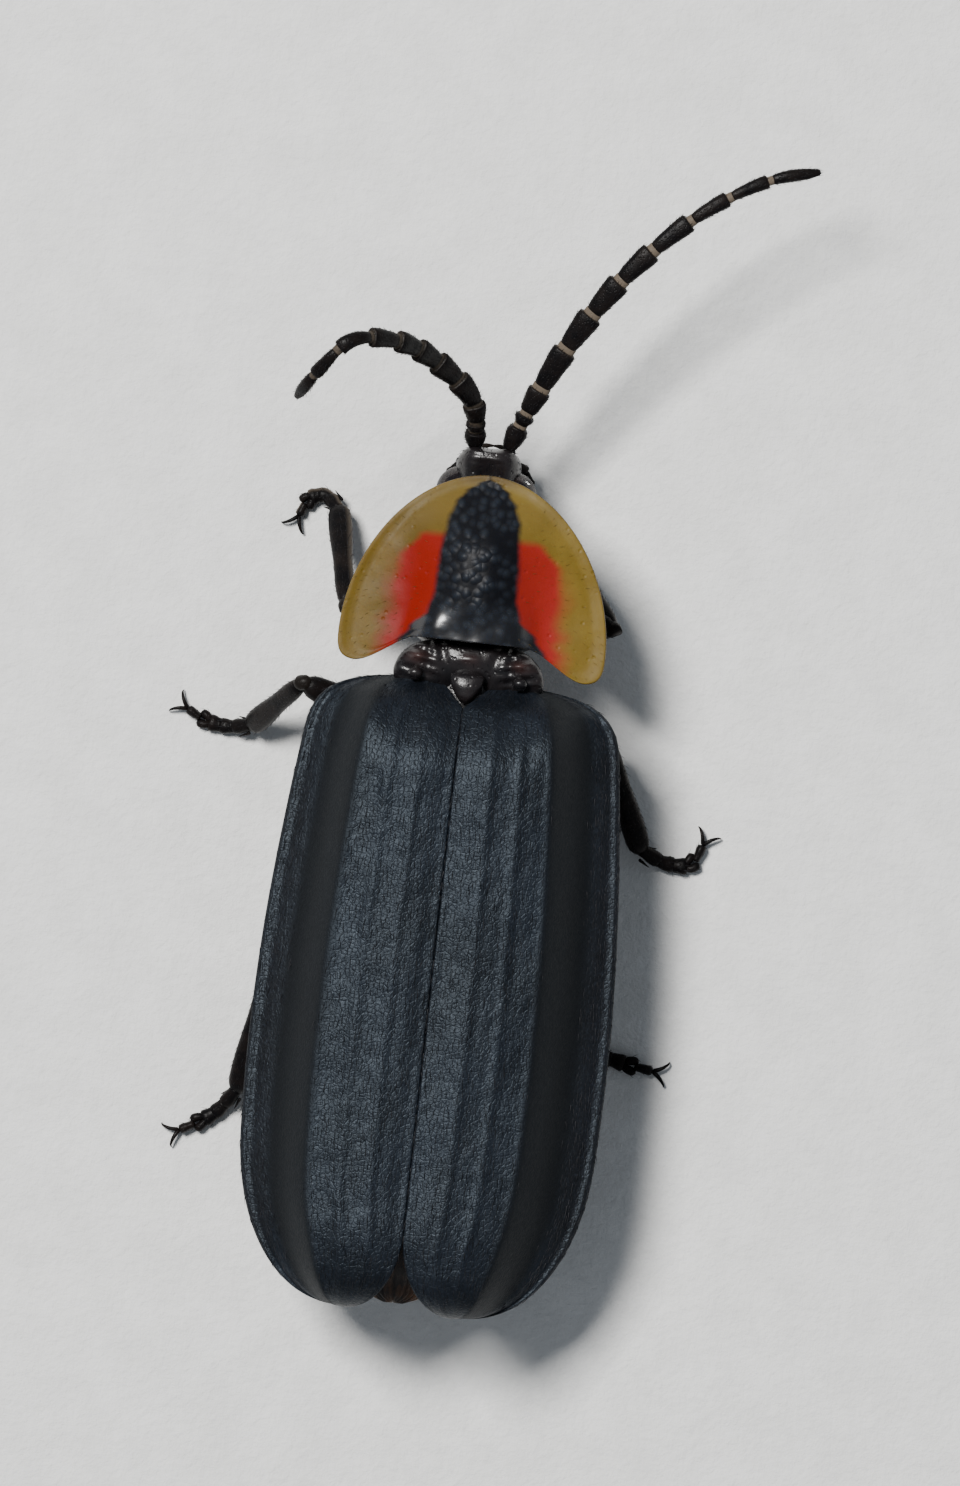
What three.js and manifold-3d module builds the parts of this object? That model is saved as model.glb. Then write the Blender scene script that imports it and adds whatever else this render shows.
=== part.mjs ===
// A black firefly standing on a flat floor, at its real size in millimetres.
// It faces -Y, its left side is towards +X, and its feet rest on z = 0.
import * as THREE from 'three';
import { mergeVertices } from 'three/addons/utils/BufferGeometryUtils.js';
import Module from 'manifold-3d';

const wasm = await Module();
wasm.setup();

// Driving dimensions. Lengths along the body count from the front edge of the elytra (y = 0).
const FRAME_SHIFT = new THREE.Vector3(0, -0.57, 0); // puts the middle of the footprint at the origin
const GAP = 0.25; // clear space between two large parts
const FINE_GAP = 0.15; // the same between the small parts of the head

const ELYTRON_LENGTH = 8.0;
const ELYTRON_HALF_WIDTH = 2.28; // both together, half way along
const ELYTRON_SHOULDER_WIDTH = 1.9; // the same, right behind the shoulder
const SHOULDER_SQUARENESS = 3.7;
const ELYTRON_THICKNESS = 0.5;
const BASE_SHARE = 0.7; // of that thickness, at their bases
const TIP_START = 5.6; // where their sides begin to round in to the tips
const TIP_ACROSS = 0.69; // distance of each tip from the middle line
const SCUTELLUM_NOTCH = 0.42; // how far their bases part round the scutellum
const DISC_HEIGHT = 3.1; // top of the elytra above the floor
const EDGE_HEIGHT = 2.05; // their side edge above the floor
const FOLD_AT = 0.58; // where the flat disc turns down, as a part of the width
const FLANGE_AT = 0.84; // where the steep side meets the flat margin
const TIP_SLOPE_START = 6.9; // where their upper face begins to slope down to the tips
const TIP_DROOP = 0.3; // how far their tips bend down beyond that
const COSTAE = [0.22, 0.4, 0.6]; // raised lines, as parts of the width
const COSTA_HEIGHT = 0.04;

const PRONOTUM_FRONT = -2.59;
const PRONOTUM_WIDEST = -0.45;
const PRONOTUM_HALF_WIDTH = 1.69;
const PRONOTUM_BASE = -0.48;
const PRONOTUM_RIM_HEIGHT = 2.3;
const PRONOTUM_DISC_RISE = 0.55;
const PRONOTUM_BASE_DROP = 0.52; // the share of that rise lost again towards its base
const PRONOTUM_THICKNESS = 0.5;
const PRONOTUM_EDGE = 0.34; // how thick it is at its rim
const PRONOTUM_CORNER = 0.38; // how far its hind corners reach behind the middle of its base
const PRONOTUM_SQUARENESS = 2 / 1.9; // of its front outline
const BOSS_ACROSS = 0.46; // two low bosses stand this far to each side of the middle
const BOSS_ALONG = -0.58;

const BELLY_HEIGHT = 0.85;
const STERNUM_HEIGHT = 1.15; // underside of the thorax, above the coxae
const COXA_HEIGHT = 0.68;
const HEAD_LEAN = 0.08; // the head is carried a little to its left
const HEAD_HEIGHT = 1.36;
const HEAD_HALF_WIDTH = 0.3; // where the eyes sit
const EYE_RADIUS = 0.31;
const EYE_ACROSS = 0.33;
const EYE_ALONG = -2.38;

// Lengths of the eleven antenna segments from the base to the tip.
const ANTENNA_SEGMENTS = [0.37, 0.18, 0.38, 0.62, 0.56, 0.56, 0.56, 0.6, 0.56, 0.55, 0.66];
const ANTENNA_WIDTHS = [0.13, 0.13, 0.19, 0.24, 0.25, 0.25, 0.25, 0.24, 0.23, 0.21, 0.17];
const TARSUS_SHARES = [0.3, 0.2, 0.15, 0.15, 0.2]; // five tarsus joints as parts of its length
const TARSUS_WIDTHS = [0.21, 0.2, 0.21, 0.27, 0.15];

const BLACK_SHELL = { color: 0x1c1f24, roughness: 0.5, metalness: 0 };
const GLOSSY_BLACK = { color: 0x0d0c0e, roughness: 0.2, metalness: 0 };
const OCHRE_SHELL = { color: 0xa0853c, roughness: 0.35, metalness: 0 };
const DARK_LIMB = { color: 0x17161a, roughness: 0.4, metalness: 0 };
const BROWN_BELLY = { color: 0x2a211b, roughness: 0.5, metalness: 0 };
const BROWN_WING = { color: 0x4a3322, roughness: 0.4, metalness: 0 };

const at = (x, y, z) => new THREE.Vector3(x, y, z);
const mix = (a, b, t) => a + (b - a) * t;
const bump = (x, middle, width) => Math.exp(-(((x - middle) / width) ** 2));
const smooth = (x, low, high) => THREE.MathUtils.smoothstep(x, low, high);
// A quarter of a rounded square: 1 at t = 0 and 0 at t = 1.
const round = (t, power) => Math.max(0, 1 - Math.abs(t) ** power) ** (1 / power);

// One closed skin over a row of rings, each end closed to the middle of its ring.
function loft(rings) {
  const count = rings[0].length;
  const points = rings.flat();
  const index = [];
  for (let row = 0; row + 1 < rings.length; row += 1) {
    for (let k = 0; k < count; k += 1) {
      const a = row * count + k;
      const b = row * count + ((k + 1) % count);
      index.push(a, b, b + count, a, b + count, a + count);
    }
  }
  for (const [ring, start, turn] of [[rings[0], 0, 1], [rings.at(-1), points.length - count, 0]]) {
    const middle = ring.reduce((sum, p) => sum.add(p), at(0, 0, 0)).divideScalar(count);
    points.push(middle);
    for (let k = 0; k < count; k += 1) {
      const pair = [start + k, start + ((k + 1) % count)];
      index.push(points.length - 1, pair[turn], pair[1 - turn]);
    }
  }
  const skin = new THREE.BufferGeometry().setFromPoints(points);
  skin.setIndex(index);
  return outwards(skin);
}

// Turns a closed skin so that its faces point out.
function outwards(skin) {
  const place = skin.attributes.position;
  const corners = skin.index.array;
  const [a, b, c] = [at(0, 0, 0), at(0, 0, 0), at(0, 0, 0)];
  let volume = 0;
  for (let k = 0; k < corners.length; k += 3) {
    a.fromBufferAttribute(place, corners[k]);
    b.fromBufferAttribute(place, corners[k + 1]);
    c.fromBufferAttribute(place, corners[k + 2]);
    volume += a.dot(b.cross(c));
  }
  if (volume < 0) {
    for (let k = 0; k < corners.length; k += 3) {
      [corners[k + 1], corners[k + 2]] = [corners[k + 2], corners[k + 1]];
    }
  }
  return skin;
}

// A three.js geometry as a solid that can be joined and cut.
function solid(geometry) {
  const bare = geometry.clone();
  bare.deleteAttribute('normal');
  bare.deleteAttribute('uv');
  const merged = mergeVertices(bare, 1e-5);
  const corners = merged.index.array;
  const kept = [];
  for (let k = 0; k < corners.length; k += 3) {
    const [a, b, c] = corners.slice(k, k + 3);
    if (a !== b && b !== c && c !== a) kept.push(a, b, c);
  }
  const vertProperties = Float32Array.from(merged.attributes.position.array);
  return new wasm.Manifold(new wasm.Mesh({ numProp: 3, vertProperties, triVerts: Uint32Array.from(kept) }));
}

// The largest closed surface of a solid, back as a geometry.
function geometryOf(body) {
  const pieces = body.decompose().sort((a, b) => b.volume() - a.volume());
  const mesh = pieces[0].getMesh();
  const geometry = new THREE.BufferGeometry();
  geometry.setAttribute('position', new THREE.BufferAttribute(mesh.vertProperties, 3));
  geometry.setIndex(new THREE.BufferAttribute(mesh.triVerts, 1));
  return geometry;
}

const join = geometries => geometries.map(solid).reduce((whole, piece) => whole.add(piece));

function slab(low, high) {
  const size = high.clone().sub(low);
  const box = new THREE.BoxGeometry(size.x, size.y, size.z);
  box.translate(...low.clone().add(high).multiplyScalar(0.5).toArray());
  return solid(box);
}

const REACH = 9; // further than any part of the animal from its middle
const FLOOR = slab(at(-REACH, -REACH, -1), at(REACH, REACH, 0));

// A stretch of limb between two points. Each stop of its shape gives the place along it,
// the half width across and the half depth; bend shifts the end sideways.
function stretch(from, to, shape, sides = 8, bend = 0) {
  const along = to.clone().sub(from);
  const across = along.clone().cross(at(0, 0, 1)).normalize();
  const up = across.clone().cross(along).normalize();
  return loft(shape.map(([t, wide, deep]) => {
    const middle = from.clone().addScaledVector(along, t).addScaledVector(across, bend * t);
    return Array.from({ length: sides }, (_, k) => {
      const turn = (2 * Math.PI * (k + 0.5)) / sides;
      return middle.clone()
        .addScaledVector(across, wide * Math.cos(turn))
        .addScaledVector(up, deep * Math.sin(turn));
    });
  }));
}

// A ring of a trunk part at y: half width, underside, top and how square it is.
function trunkRing(y, half, low, high, sides, power = 2.3) {
  const middle = (low + high) / 2;
  const rise = (high - low) / 2;
  return Array.from({ length: sides }, (_, k) => {
    const turn = (2 * Math.PI * k) / sides;
    const [c, s] = [Math.cos(turn), Math.sin(turn)];
    const x = half * Math.sign(c) * Math.abs(c) ** (2 / power);
    return at(x, y, middle + rise * Math.sign(s) * Math.abs(s) ** (2 / power));
  });
}

const firefly = new THREE.Group();
firefly.position.copy(FRAME_SHIFT);

function addPart(name, body, finish) {
  const geometry = geometryOf(body);
  const mesh = new THREE.Mesh(geometry, new THREE.MeshStandardMaterial(finish));
  mesh.name = name;
  firefly.add(mesh);
}

// Elytra: two long wing covers with a flat disc, a fold, sloping sides and raised lines.
function elytronOuterEdge(y) {
  const long = mix(ELYTRON_SHOULDER_WIDTH, ELYTRON_HALF_WIDTH, Math.sin((Math.PI / 2) * (y / 4.7)));
  const shoulder = round(1 - Math.min(1, y), SHOULDER_SQUARENESS);
  const tip = round(Math.max(0, (y - TIP_START) / (ELYTRON_LENGTH - TIP_START)), 2.15);
  return mix(TIP_ACROSS, long * shoulder, tip);
}

function elytronInnerEdge(y) {
  const notch = Math.max(0, SCUTELLUM_NOTCH - y);
  const tip = 1 - round(Math.max(0, y - (ELYTRON_LENGTH - 1)), 2);
  return mix(FINE_GAP / 2 + notch, TIP_ACROSS, tip);
}

// Height of the outer face at a place across the width, 0 at the suture and 1 at the side.
function elytronTop(y, across) {
  const rise = smooth(y, -0.9, 1.2) * (1 - 0.5 * smooth(y, TIP_SLOPE_START, 8.8));
  const droop = TIP_DROOP * smooth(y, TIP_SLOPE_START + 0.2, 8.2);
  const disc = 1 - 0.12 * (across / FOLD_AT) ** 2.4;
  const margin = (0.16 * (1 - across)) / (1 - FLANGE_AT);
  const cover = mix(disc, margin, smooth(across, FOLD_AT, FLANGE_AT));
  const lines = COSTAE.reduce((sum, line) => sum + COSTA_HEIGHT * bump(across, line, 0.035), 0);
  return mix(EDGE_HEIGHT, DISC_HEIGHT, rise * cover) - droop + lines * rise;
}

function elytron(side) {
  const stations = [0.03, 0.1, 0.22, 0.4, 0.65, 1.0, 1.5, 2.1, 2.8, 3.5, 4.2, 4.9, 5.5, 6.0, 6.45,
    6.85, 7.15, 7.4, 7.6, 7.75, 7.87, 7.95, 7.985];
  const outer = [0.02, 0.1, 0.18, 0.22, 0.27, 0.4, 0.5, 0.56, 0.6, 0.66, 0.72, 0.79, 0.86, 0.94, 0.99];
  const inner = [1.0, 0.9, 0.75, 0.6, 0.4, 0.2, 0.03, 0.0];
  return loft(stations.map(y => {
    const place = across => mix(elytronInnerEdge(y), elytronOuterEdge(y), across);
    const fromTip = smooth(ELYTRON_LENGTH - y, 0, 0.8);
    const thick = ELYTRON_THICKNESS * mix(0.6, 1, fromTip) * mix(BASE_SHARE, 1, smooth(y, 0.2, 1.2));
    const above = outer.map(q => at(side * place(q), y, elytronTop(y, q)));
    const below = inner.map(q => {
      const edge = Math.max(bump(q, 1, 0.05), bump(q, 0, 0.02));
      return at(side * place(q), y, elytronTop(y, q) - thick * mix(1, 0.3, edge));
    });
    return [...above, ...below];
  }));
}

addPart('elytron_left', solid(elytron(1)), BLACK_SHELL);
addPart('elytron_right', solid(elytron(-1)), BLACK_SHELL);

// Pronotum: the rounded shield over the head, with a raised middle and a flat thin margin.
function pronotumEdge(turn) {
  const [c, s] = [Math.cos(turn), Math.sin(turn)];
  const x = PRONOTUM_HALF_WIDTH * Math.sign(c) * Math.abs(c) ** (s < 0 ? PRONOTUM_SQUARENESS : 0.46);
  const front = (PRONOTUM_FRONT - PRONOTUM_WIDEST) * Math.abs(s) ** PRONOTUM_SQUARENESS;
  const corner = PRONOTUM_CORNER * smooth(Math.abs(x), 0.65, 1.5);
  const back = (PRONOTUM_BASE - PRONOTUM_WIDEST + corner) * (1 - (1 - Math.max(0, s)) ** 3);
  return [x, PRONOTUM_WIDEST + (s < 0 ? front : back)];
}

function pronotumTop(x, y) {
  const length = PRONOTUM_BASE - PRONOTUM_FRONT;
  const back = (y - PRONOTUM_FRONT) / length;
  const disc = bump(x, 0, 0.72) * smooth(back, 0, 0.5) * (1 - PRONOTUM_BASE_DROP * smooth(back, 0.6, 0.98));
  const bosses = 0.15 * bump(Math.abs(x), BOSS_ACROSS, 0.22) * bump(y, BOSS_ALONG, 0.26);
  return PRONOTUM_RIM_HEIGHT + 0.06 * (back - 0.5) + PRONOTUM_DISC_RISE * disc + bosses;
}

const pronotumRing = (share, drop) => Array.from({ length: 44 }, (_, k) => {
  const [x, y] = pronotumEdge((2 * Math.PI * k) / 44);
  const [px, py] = [x * share, mix(-1.3, y, share)];
  return at(px, py, pronotumTop(px, py) - drop);
});

addPart('pronotum', solid(loft([
  ...[0.08, 0.18, 0.28, 0.38, 0.48, 0.6, 0.74, 0.88, 0.97].map(share => pronotumRing(share, 0)),
  pronotumRing(1, 0.08),
  pronotumRing(1, 0.26),
  ...[0.97, 0.85, 0.65, 0.4, 0.15].map(share => {
    return pronotumRing(share, mix(PRONOTUM_THICKNESS, PRONOTUM_EDGE, share ** 4));
  }),
])), OCHRE_SHELL);

// Prothorax: the narrow block under the pronotum that carries the head and the front legs.
const pronotumMiddle = PRONOTUM_RIM_HEIGHT + PRONOTUM_DISC_RISE * (1 - PRONOTUM_BASE_DROP / 2);
const prothoraxTop = pronotumMiddle - PRONOTUM_THICKNESS - GAP;
addPart('prothorax', solid(loft([
  trunkRing(-1.78, 0.42, 1.3, 1.56, 20, 2),
  trunkRing(-1.68, 0.6, STERNUM_HEIGHT, 1.72, 20, 2),
  trunkRing(-1.3, 0.8, STERNUM_HEIGHT, prothoraxTop, 20, 2),
  trunkRing(-0.8, 0.86, STERNUM_HEIGHT, prothoraxTop, 20, 2),
  trunkRing(-0.6, 0.82, STERNUM_HEIGHT + 0.05, prothoraxTop - 0.05, 20, 2),
  trunkRing(-0.5, 0.68, 1.3, prothoraxTop - 0.12, 20, 2),
])), GLOSSY_BLACK);

// Thorax: the trunk under the front of the elytra, which carries the middle and hind legs.
addPart('thorax', solid(loft([
  trunkRing(-0.24, 0.5, 1.32, 1.78, 24),
  trunkRing(-0.1, 0.72, 1.22, 1.84, 24),
  trunkRing(0.3, 1.1, STERNUM_HEIGHT, 1.9, 24),
  trunkRing(0.8, 1.34, STERNUM_HEIGHT, 2.1, 24),
  trunkRing(1.4, 1.4, STERNUM_HEIGHT, 2.25, 24),
  trunkRing(2.1, 1.4, STERNUM_HEIGHT, 2.3, 24),
  trunkRing(2.6, 1.3, STERNUM_HEIGHT + 0.05, 2.28, 24),
  trunkRing(2.72, 1.18, 1.26, 2.18, 24),
])), GLOSSY_BLACK);

// Scutellum: the small shiny plate between the pronotum and the bases of the elytra.
function scutellumRing(y, drop) {
  const half = mix(0.86, 0.3, smooth(y, -0.24, -0.04)) * round(Math.max(0, y + 0.02) / 0.34, 1.6);
  const high = 2.55 - 0.5 * (y * y) - drop;
  return trunkRing(y, Math.max(half, 0.05), 2.14, high, 14, 2.6);
}

addPart('scutellum', solid(loft([
  scutellumRing(-0.22, 0.14),
  scutellumRing(-0.17, 0),
  scutellumRing(-0.08, 0),
  scutellumRing(0, 0),
  scutellumRing(0.08, 0),
  scutellumRing(0.18, 0.02),
  scutellumRing(0.27, 0.05),
  scutellumRing(0.32, 0.12),
])), GLOSSY_BLACK);

// Abdomen: seven plates, each with a raised hind edge over the front of the next.
const PLATES = 7;
const PLATE_EDGE = 0.04; // how far a plate's hind edge stands out and stops short of the next
const ABDOMEN_START = 2.98;
const ABDOMEN_END = 7.75;
function abdomenRing(y, swell) {
  const t = (y - ABDOMEN_START) / (ABDOMEN_END - ABDOMEN_START);
  const half = mix(1.1, 1.5, smooth(t, 0, 0.28)) * round(Math.max(0, (t - 0.35) / 0.66), 2.6) + swell;
  const low = mix(1.2, BELLY_HEIGHT, smooth(t, 0, 0.3)) + 0.25 * smooth(t, 0.7, 1);
  const high = 2.25 - 0.7 * smooth(t, 0.7, 1.05);
  return trunkRing(y, Math.max(half, 0.3), low - swell, high + swell, 24);
}

function abdomen() {
  const rings = [];
  for (let plate = 0; plate < PLATES; plate += 1) {
    const from = mix(ABDOMEN_START, ABDOMEN_END, plate / PLATES);
    const to = mix(ABDOMEN_START, ABDOMEN_END, (plate + 1) / PLATES);
    rings.push(abdomenRing(from, -0.06));
    rings.push(abdomenRing(mix(from, to, 0.45), 0));
    rings.push(abdomenRing(to - PLATE_EDGE, PLATE_EDGE));
  }
  return loft(rings);
}

addPart('abdomen', solid(abdomen()), BROWN_BELLY);

// Hind wings: folded flat on the end of the abdomen, they show between the elytra's tips.
addPart('hind_wings', solid(loft([
  trunkRing(6.8, 0.6, 2.32, 2.42, 16),
  trunkRing(6.95, 0.8, 2.24, 2.42, 16),
  trunkRing(7.2, 0.8, 2.1, 2.36, 16),
  trunkRing(7.5, 0.6, 1.94, 2.22, 16),
  trunkRing(7.72, 0.4, 1.9, 2.08, 16),
  trunkRing(7.86, 0.16, 1.93, 2.02, 16),
])), BROWN_WING);

// Head: a short box under the front of the pronotum, with a rounded forehead.
const HEAD_RINGS = [
  [-1.98, 0.26, 1.18, 1.5], [-2.1, 0.3, 1.02, 1.6], [-2.4, 0.3, 0.96, 1.64], [-2.6, 0.31, 0.98, 1.66],
  [-2.74, 0.37, 1.0, 1.7], [-2.82, 0.38, 1.04, 1.76], [-2.9, 0.31, 1.12, 1.74], [-2.95, 0.2, 1.22, 1.66],
];
const headSkin = loft(HEAD_RINGS.map(([y, half, low, high]) => trunkRing(y, half, low, high, 22)
  .map(p => p.add(at(HEAD_LEAN, 0, 0)))));
addPart('head', solid(headSkin), GLOSSY_BLACK);

// Eyes: round and black, set against the sides of the head.
for (const [name, side] of [['eye_left', 1], ['eye_right', -1]]) {
  const ball = new THREE.SphereGeometry(EYE_RADIUS, 20, 14);
  ball.translate(HEAD_LEAN + side * EYE_ACROSS, EYE_ALONG, HEAD_HEIGHT - 0.06);
  const face = HEAD_LEAN + side * (HEAD_HALF_WIDTH + FINE_GAP);
  const inner = face - side;
  const inside = slab(at(Math.min(face, inner), -REACH, 0), at(Math.max(face, inner), 0, REACH));
  addPart(name, solid(ball).subtract(inside), GLOSSY_BLACK);
}

// Antennae: eleven flat segments on a curve, each wider at its end than where it starts.
const ANTENNA_ROUTES = {
  antenna_left: [at(0.27, -3.12, 1.54), at(0.33, -3.52, 2.2), at(0.8, -3.93, 3.0), at(1.3, -4.13, 3.9),
    at(1.8, -4.03, 4.48), at(2.15, -3.65, 4.3), at(2.45, -3.25, 3.75)],
  antenna_right: [at(-0.14, -3.1, 1.54), at(-0.36, -3.49, 1.72), at(-0.815, -4.38, 2.05),
    at(-1.44, -5.29, 2.32), at(-2.275, -6.15, 2.42), at(-3.1, -6.67, 2.36), at(-3.78, -6.87, 2.3)],
};

function antenna(route) {
  const curve = new THREE.CatmullRomCurve3(route, false, 'centripetal');
  const total = ANTENNA_SEGMENTS.reduce((sum, length) => sum + length, 0);
  let walked = 0;
  return join(ANTENNA_SEGMENTS.map((length, k) => {
    const from = curve.getPointAt(walked / total);
    walked += length;
    const to = curve.getPointAt(Math.min(1, walked / total));
    const wide = ANTENNA_WIDTHS[k];
    const deep = Math.min(wide, 0.2);
    const tip = k === ANTENNA_SEGMENTS.length - 1 ? 0.4 : 0.8;
    return stretch(from, to, [
      [-0.06, wide * 0.45, deep * 0.5], [0.1, wide * 0.66, deep * 0.8], [0.8, wide, deep],
      [0.95, wide * tip, deep * tip], [1.03, wide * 0.4, deep * 0.4],
    ], 8, 0.03);
  }));
}

for (const [name, route] of Object.entries(ANTENNA_ROUTES)) addPart(name, antenna(route), DARK_LIMB);

// Mouthparts: a small block under the head with two jaws and four jointed palps.
const MOUTH_RINGS = [
  [-2.42, 0.16, 0.6, 0.72], [-2.5, 0.25, 0.52, 0.8], [-2.76, 0.25, 0.52, 0.82], [-2.88, 0.14, 0.6, 0.76],
];
const PALP = [[-0.08, 0.08, 0.08], [0.15, 0.1, 0.1], [0.8, 0.13, 0.12], [1.04, 0.07, 0.07]];
const PALP_END = [[-0.1, 0.07, 0.07], [0.3, 0.12, 0.1], [0.85, 0.17, 0.12], [1.0, 0.12, 0.08]];
const PALP_ROUTES = [
  [at(0.22, -2.7, 0.66), at(0.42, -2.82, 0.58), at(0.58, -2.78, 0.5), at(0.68, -2.6, 0.44)],
  [at(-0.06, -2.7, 0.66), at(-0.26, -2.82, 0.58), at(-0.4, -2.76, 0.5), at(-0.46, -2.56, 0.44)],
  [at(0.16, -2.66, 0.58), at(0.22, -2.84, 0.46), at(0.2, -2.95, 0.36)],
  [at(-0.06, -2.66, 0.58), at(-0.12, -2.84, 0.46), at(-0.1, -2.95, 0.36)],
];

function palp(route) {
  return route.slice(1).map((to, k) => stretch(route[k], to, k === route.length - 2 ? PALP_END : PALP, 7));
}

const jaws = [1, -1].map(side => stretch(
  at(HEAD_LEAN + side * 0.14, -2.7, 0.72),
  at(HEAD_LEAN + side * 0.06, -3.0, 0.72),
  [[0, 0.1, 0.1], [0.6, 0.09, 0.08], [1, 0.03, 0.03]],
  7,
));
addPart('mouthparts', join([
  loft(MOUTH_RINGS.map(([y, half, low, high]) => trunkRing(y, half, low, high, 14)
    .map(p => p.add(at(HEAD_LEAN, 0, 0))))),
  ...jaws,
  ...PALP_ROUTES.flatMap(palp),
]), GLOSSY_BLACK);

// Legs: coxa, femur, tibia with two spurs, five tarsus joints and two claws, flat where they stand.
const COXA = [
  [-0.3, 0.14, 0.12], [-0.1, 0.24, 0.2], [0.4, 0.27, 0.22], [0.95, 0.22, 0.2], [1.15, 0.12, 0.1],
];
const FEMUR = [
  [-0.05, 0.14, 0.14], [0.08, 0.21, 0.21], [0.4, 0.26, 0.26], [0.8, 0.23, 0.23], [0.96, 0.2, 0.2],
  [1.05, 0.12, 0.12],
];
const TIBIA = [
  [-0.05, 0.12, 0.12], [0.06, 0.19, 0.19], [0.5, 0.21, 0.2], [0.88, 0.25, 0.22], [1, 0.19, 0.16],
];
const LEGS = {
  leg_front_left: [at(0.2, -1.0, COXA_HEIGHT), at(0.62, -1.05, 0.66), at(1.68, -0.75, 1.28),
    at(1.98, -2.04, 0.42), at(2.18, -2.15, 0.2), at(2.38, -2.08, 0.16), at(2.48, -1.86, 0.16)],
  leg_front_right: [at(-0.2, -1.0, COXA_HEIGHT), at(-0.62, -1.05, 0.66), at(-1.72, -0.83, 1.28),
    at(-0.92, -1.76, 0.42), at(-0.84, -2.02, 0.2), at(-0.66, -2.17, 0.16), at(-0.38, -2.21, 0.16)],
  leg_mid_left: [at(0.25, 0.75, COXA_HEIGHT), at(0.75, 0.75, 0.66), at(2.11, 0.24, 1.52),
    at(2.79, 0.87, 0.42), at(3.1, 0.9, 0.2), at(3.38, 0.85, 0.16), at(3.6, 0.74, 0.16)],
  leg_mid_right: [at(-0.25, 0.75, COXA_HEIGHT), at(-0.75, 0.8, 0.66), at(-1.72, 0.45, 1.22),
    at(-2.32, 1.93, 0.42), at(-2.64, 2.02, 0.2), at(-2.96, 2.0, 0.16), at(-3.08, 1.74, 0.16)],
  leg_hind_left: [at(0.3, 2.3, COXA_HEIGHT), at(0.8, 2.4, 0.66), at(2.08, 3.6, 1.28),
    at(2.46, 5.52, 0.42), at(2.68, 5.76, 0.2), at(2.92, 5.94, 0.16), at(3.14, 6.06, 0.16)],
  leg_hind_right: [at(-0.3, 2.3, COXA_HEIGHT), at(-0.8, 2.4, 0.66), at(-1.9, 3.1, 1.28),
    at(-1.72, 4.7, 0.42), at(-2.12, 4.56, 0.2), at(-2.48, 4.62, 0.16), at(-2.76, 4.66, 0.16)],
};

function leg([root, hip, knee, ankle, ...foot]) {
  const shaft = [[root, hip, COXA], [hip, knee, FEMUR], [knee, ankle, TIBIA]];
  const pieces = shaft.map(([from, to, shape]) => stretch(from, to, shape, 10));
  const sole = new THREE.CatmullRomCurve3([ankle, ...foot]);
  let walked = 0;
  TARSUS_SHARES.forEach((share, k) => {
    const from = sole.getPointAt(walked);
    walked += share;
    const to = sole.getPointAt(Math.min(1, walked));
    const wide = TARSUS_WIDTHS[k];
    pieces.push(stretch(from, to, [
      [-0.12, wide * 0.6, 0.14], [0.4, wide * 0.9, 0.19], [0.9, wide, 0.19], [1.12, wide * 0.55, 0.12],
    ]));
  });
  const end = sole.getPointAt(1);
  const forward = sole.getTangentAt(1).setZ(0).normalize();
  const aside = forward.clone().cross(at(0, 0, 1));
  for (const side of [1, -1]) {
    const claw = end.clone().addScaledVector(forward, 0.22).addScaledVector(aside, side * 0.17).setZ(0.1);
    pieces.push(stretch(end, claw, [[-0.2, 0.1, 0.1], [0.5, 0.08, 0.08], [1, 0.03, 0.04]], 6));
    const spur = ankle.clone().addScaledVector(aside, side * 0.16).addScaledVector(forward, 0.16);
    spur.setZ(0.24);
    pieces.push(stretch(ankle, spur, [[0, 0.09, 0.09], [1, 0.03, 0.03]], 5));
  }
  return join(pieces).subtract(FLOOR);
}

for (const [name, joints] of Object.entries(LEGS)) addPart(name, leg(joints), DARK_LIMB);

export default firefly;
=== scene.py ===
import math

import bmesh
import bpy
import numpy as np
from mathutils import Matrix, Vector, noise


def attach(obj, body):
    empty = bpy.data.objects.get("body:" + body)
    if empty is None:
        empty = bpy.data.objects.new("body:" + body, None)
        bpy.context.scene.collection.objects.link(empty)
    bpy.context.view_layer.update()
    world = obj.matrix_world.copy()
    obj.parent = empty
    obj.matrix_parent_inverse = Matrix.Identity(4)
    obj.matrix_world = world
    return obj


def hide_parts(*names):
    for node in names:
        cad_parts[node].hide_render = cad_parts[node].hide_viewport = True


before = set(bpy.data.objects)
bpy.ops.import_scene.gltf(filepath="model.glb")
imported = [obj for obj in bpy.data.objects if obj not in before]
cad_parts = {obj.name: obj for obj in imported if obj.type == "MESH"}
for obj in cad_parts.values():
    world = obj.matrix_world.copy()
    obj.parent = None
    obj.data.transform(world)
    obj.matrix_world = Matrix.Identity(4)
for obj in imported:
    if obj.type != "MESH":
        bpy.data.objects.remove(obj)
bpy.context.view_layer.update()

# Camera: a macro lens looks down on the animal, a little from its right, with its
# head up in the picture. All lengths below are in mm, with y = 0 at the bases of the
# wing covers and z = 0 on the floor.
MM = 0.001
WINGS_FROM_MIDDLE = np.array([0, -0.57, 0])
AIM = (-0.27, 0.76, 2.9)
SIDE_LEAN = math.radians(3)
PICTURE_TURN = math.radians(6.3)
PICTURE_HEIGHT = 18.6
CAMERA_AWAY = 200


def metres(points):
    """Points of the animal in mm as places in the shared frame."""
    return (np.asarray(points, float) + WINGS_FROM_MIDDLE) * MM


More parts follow.
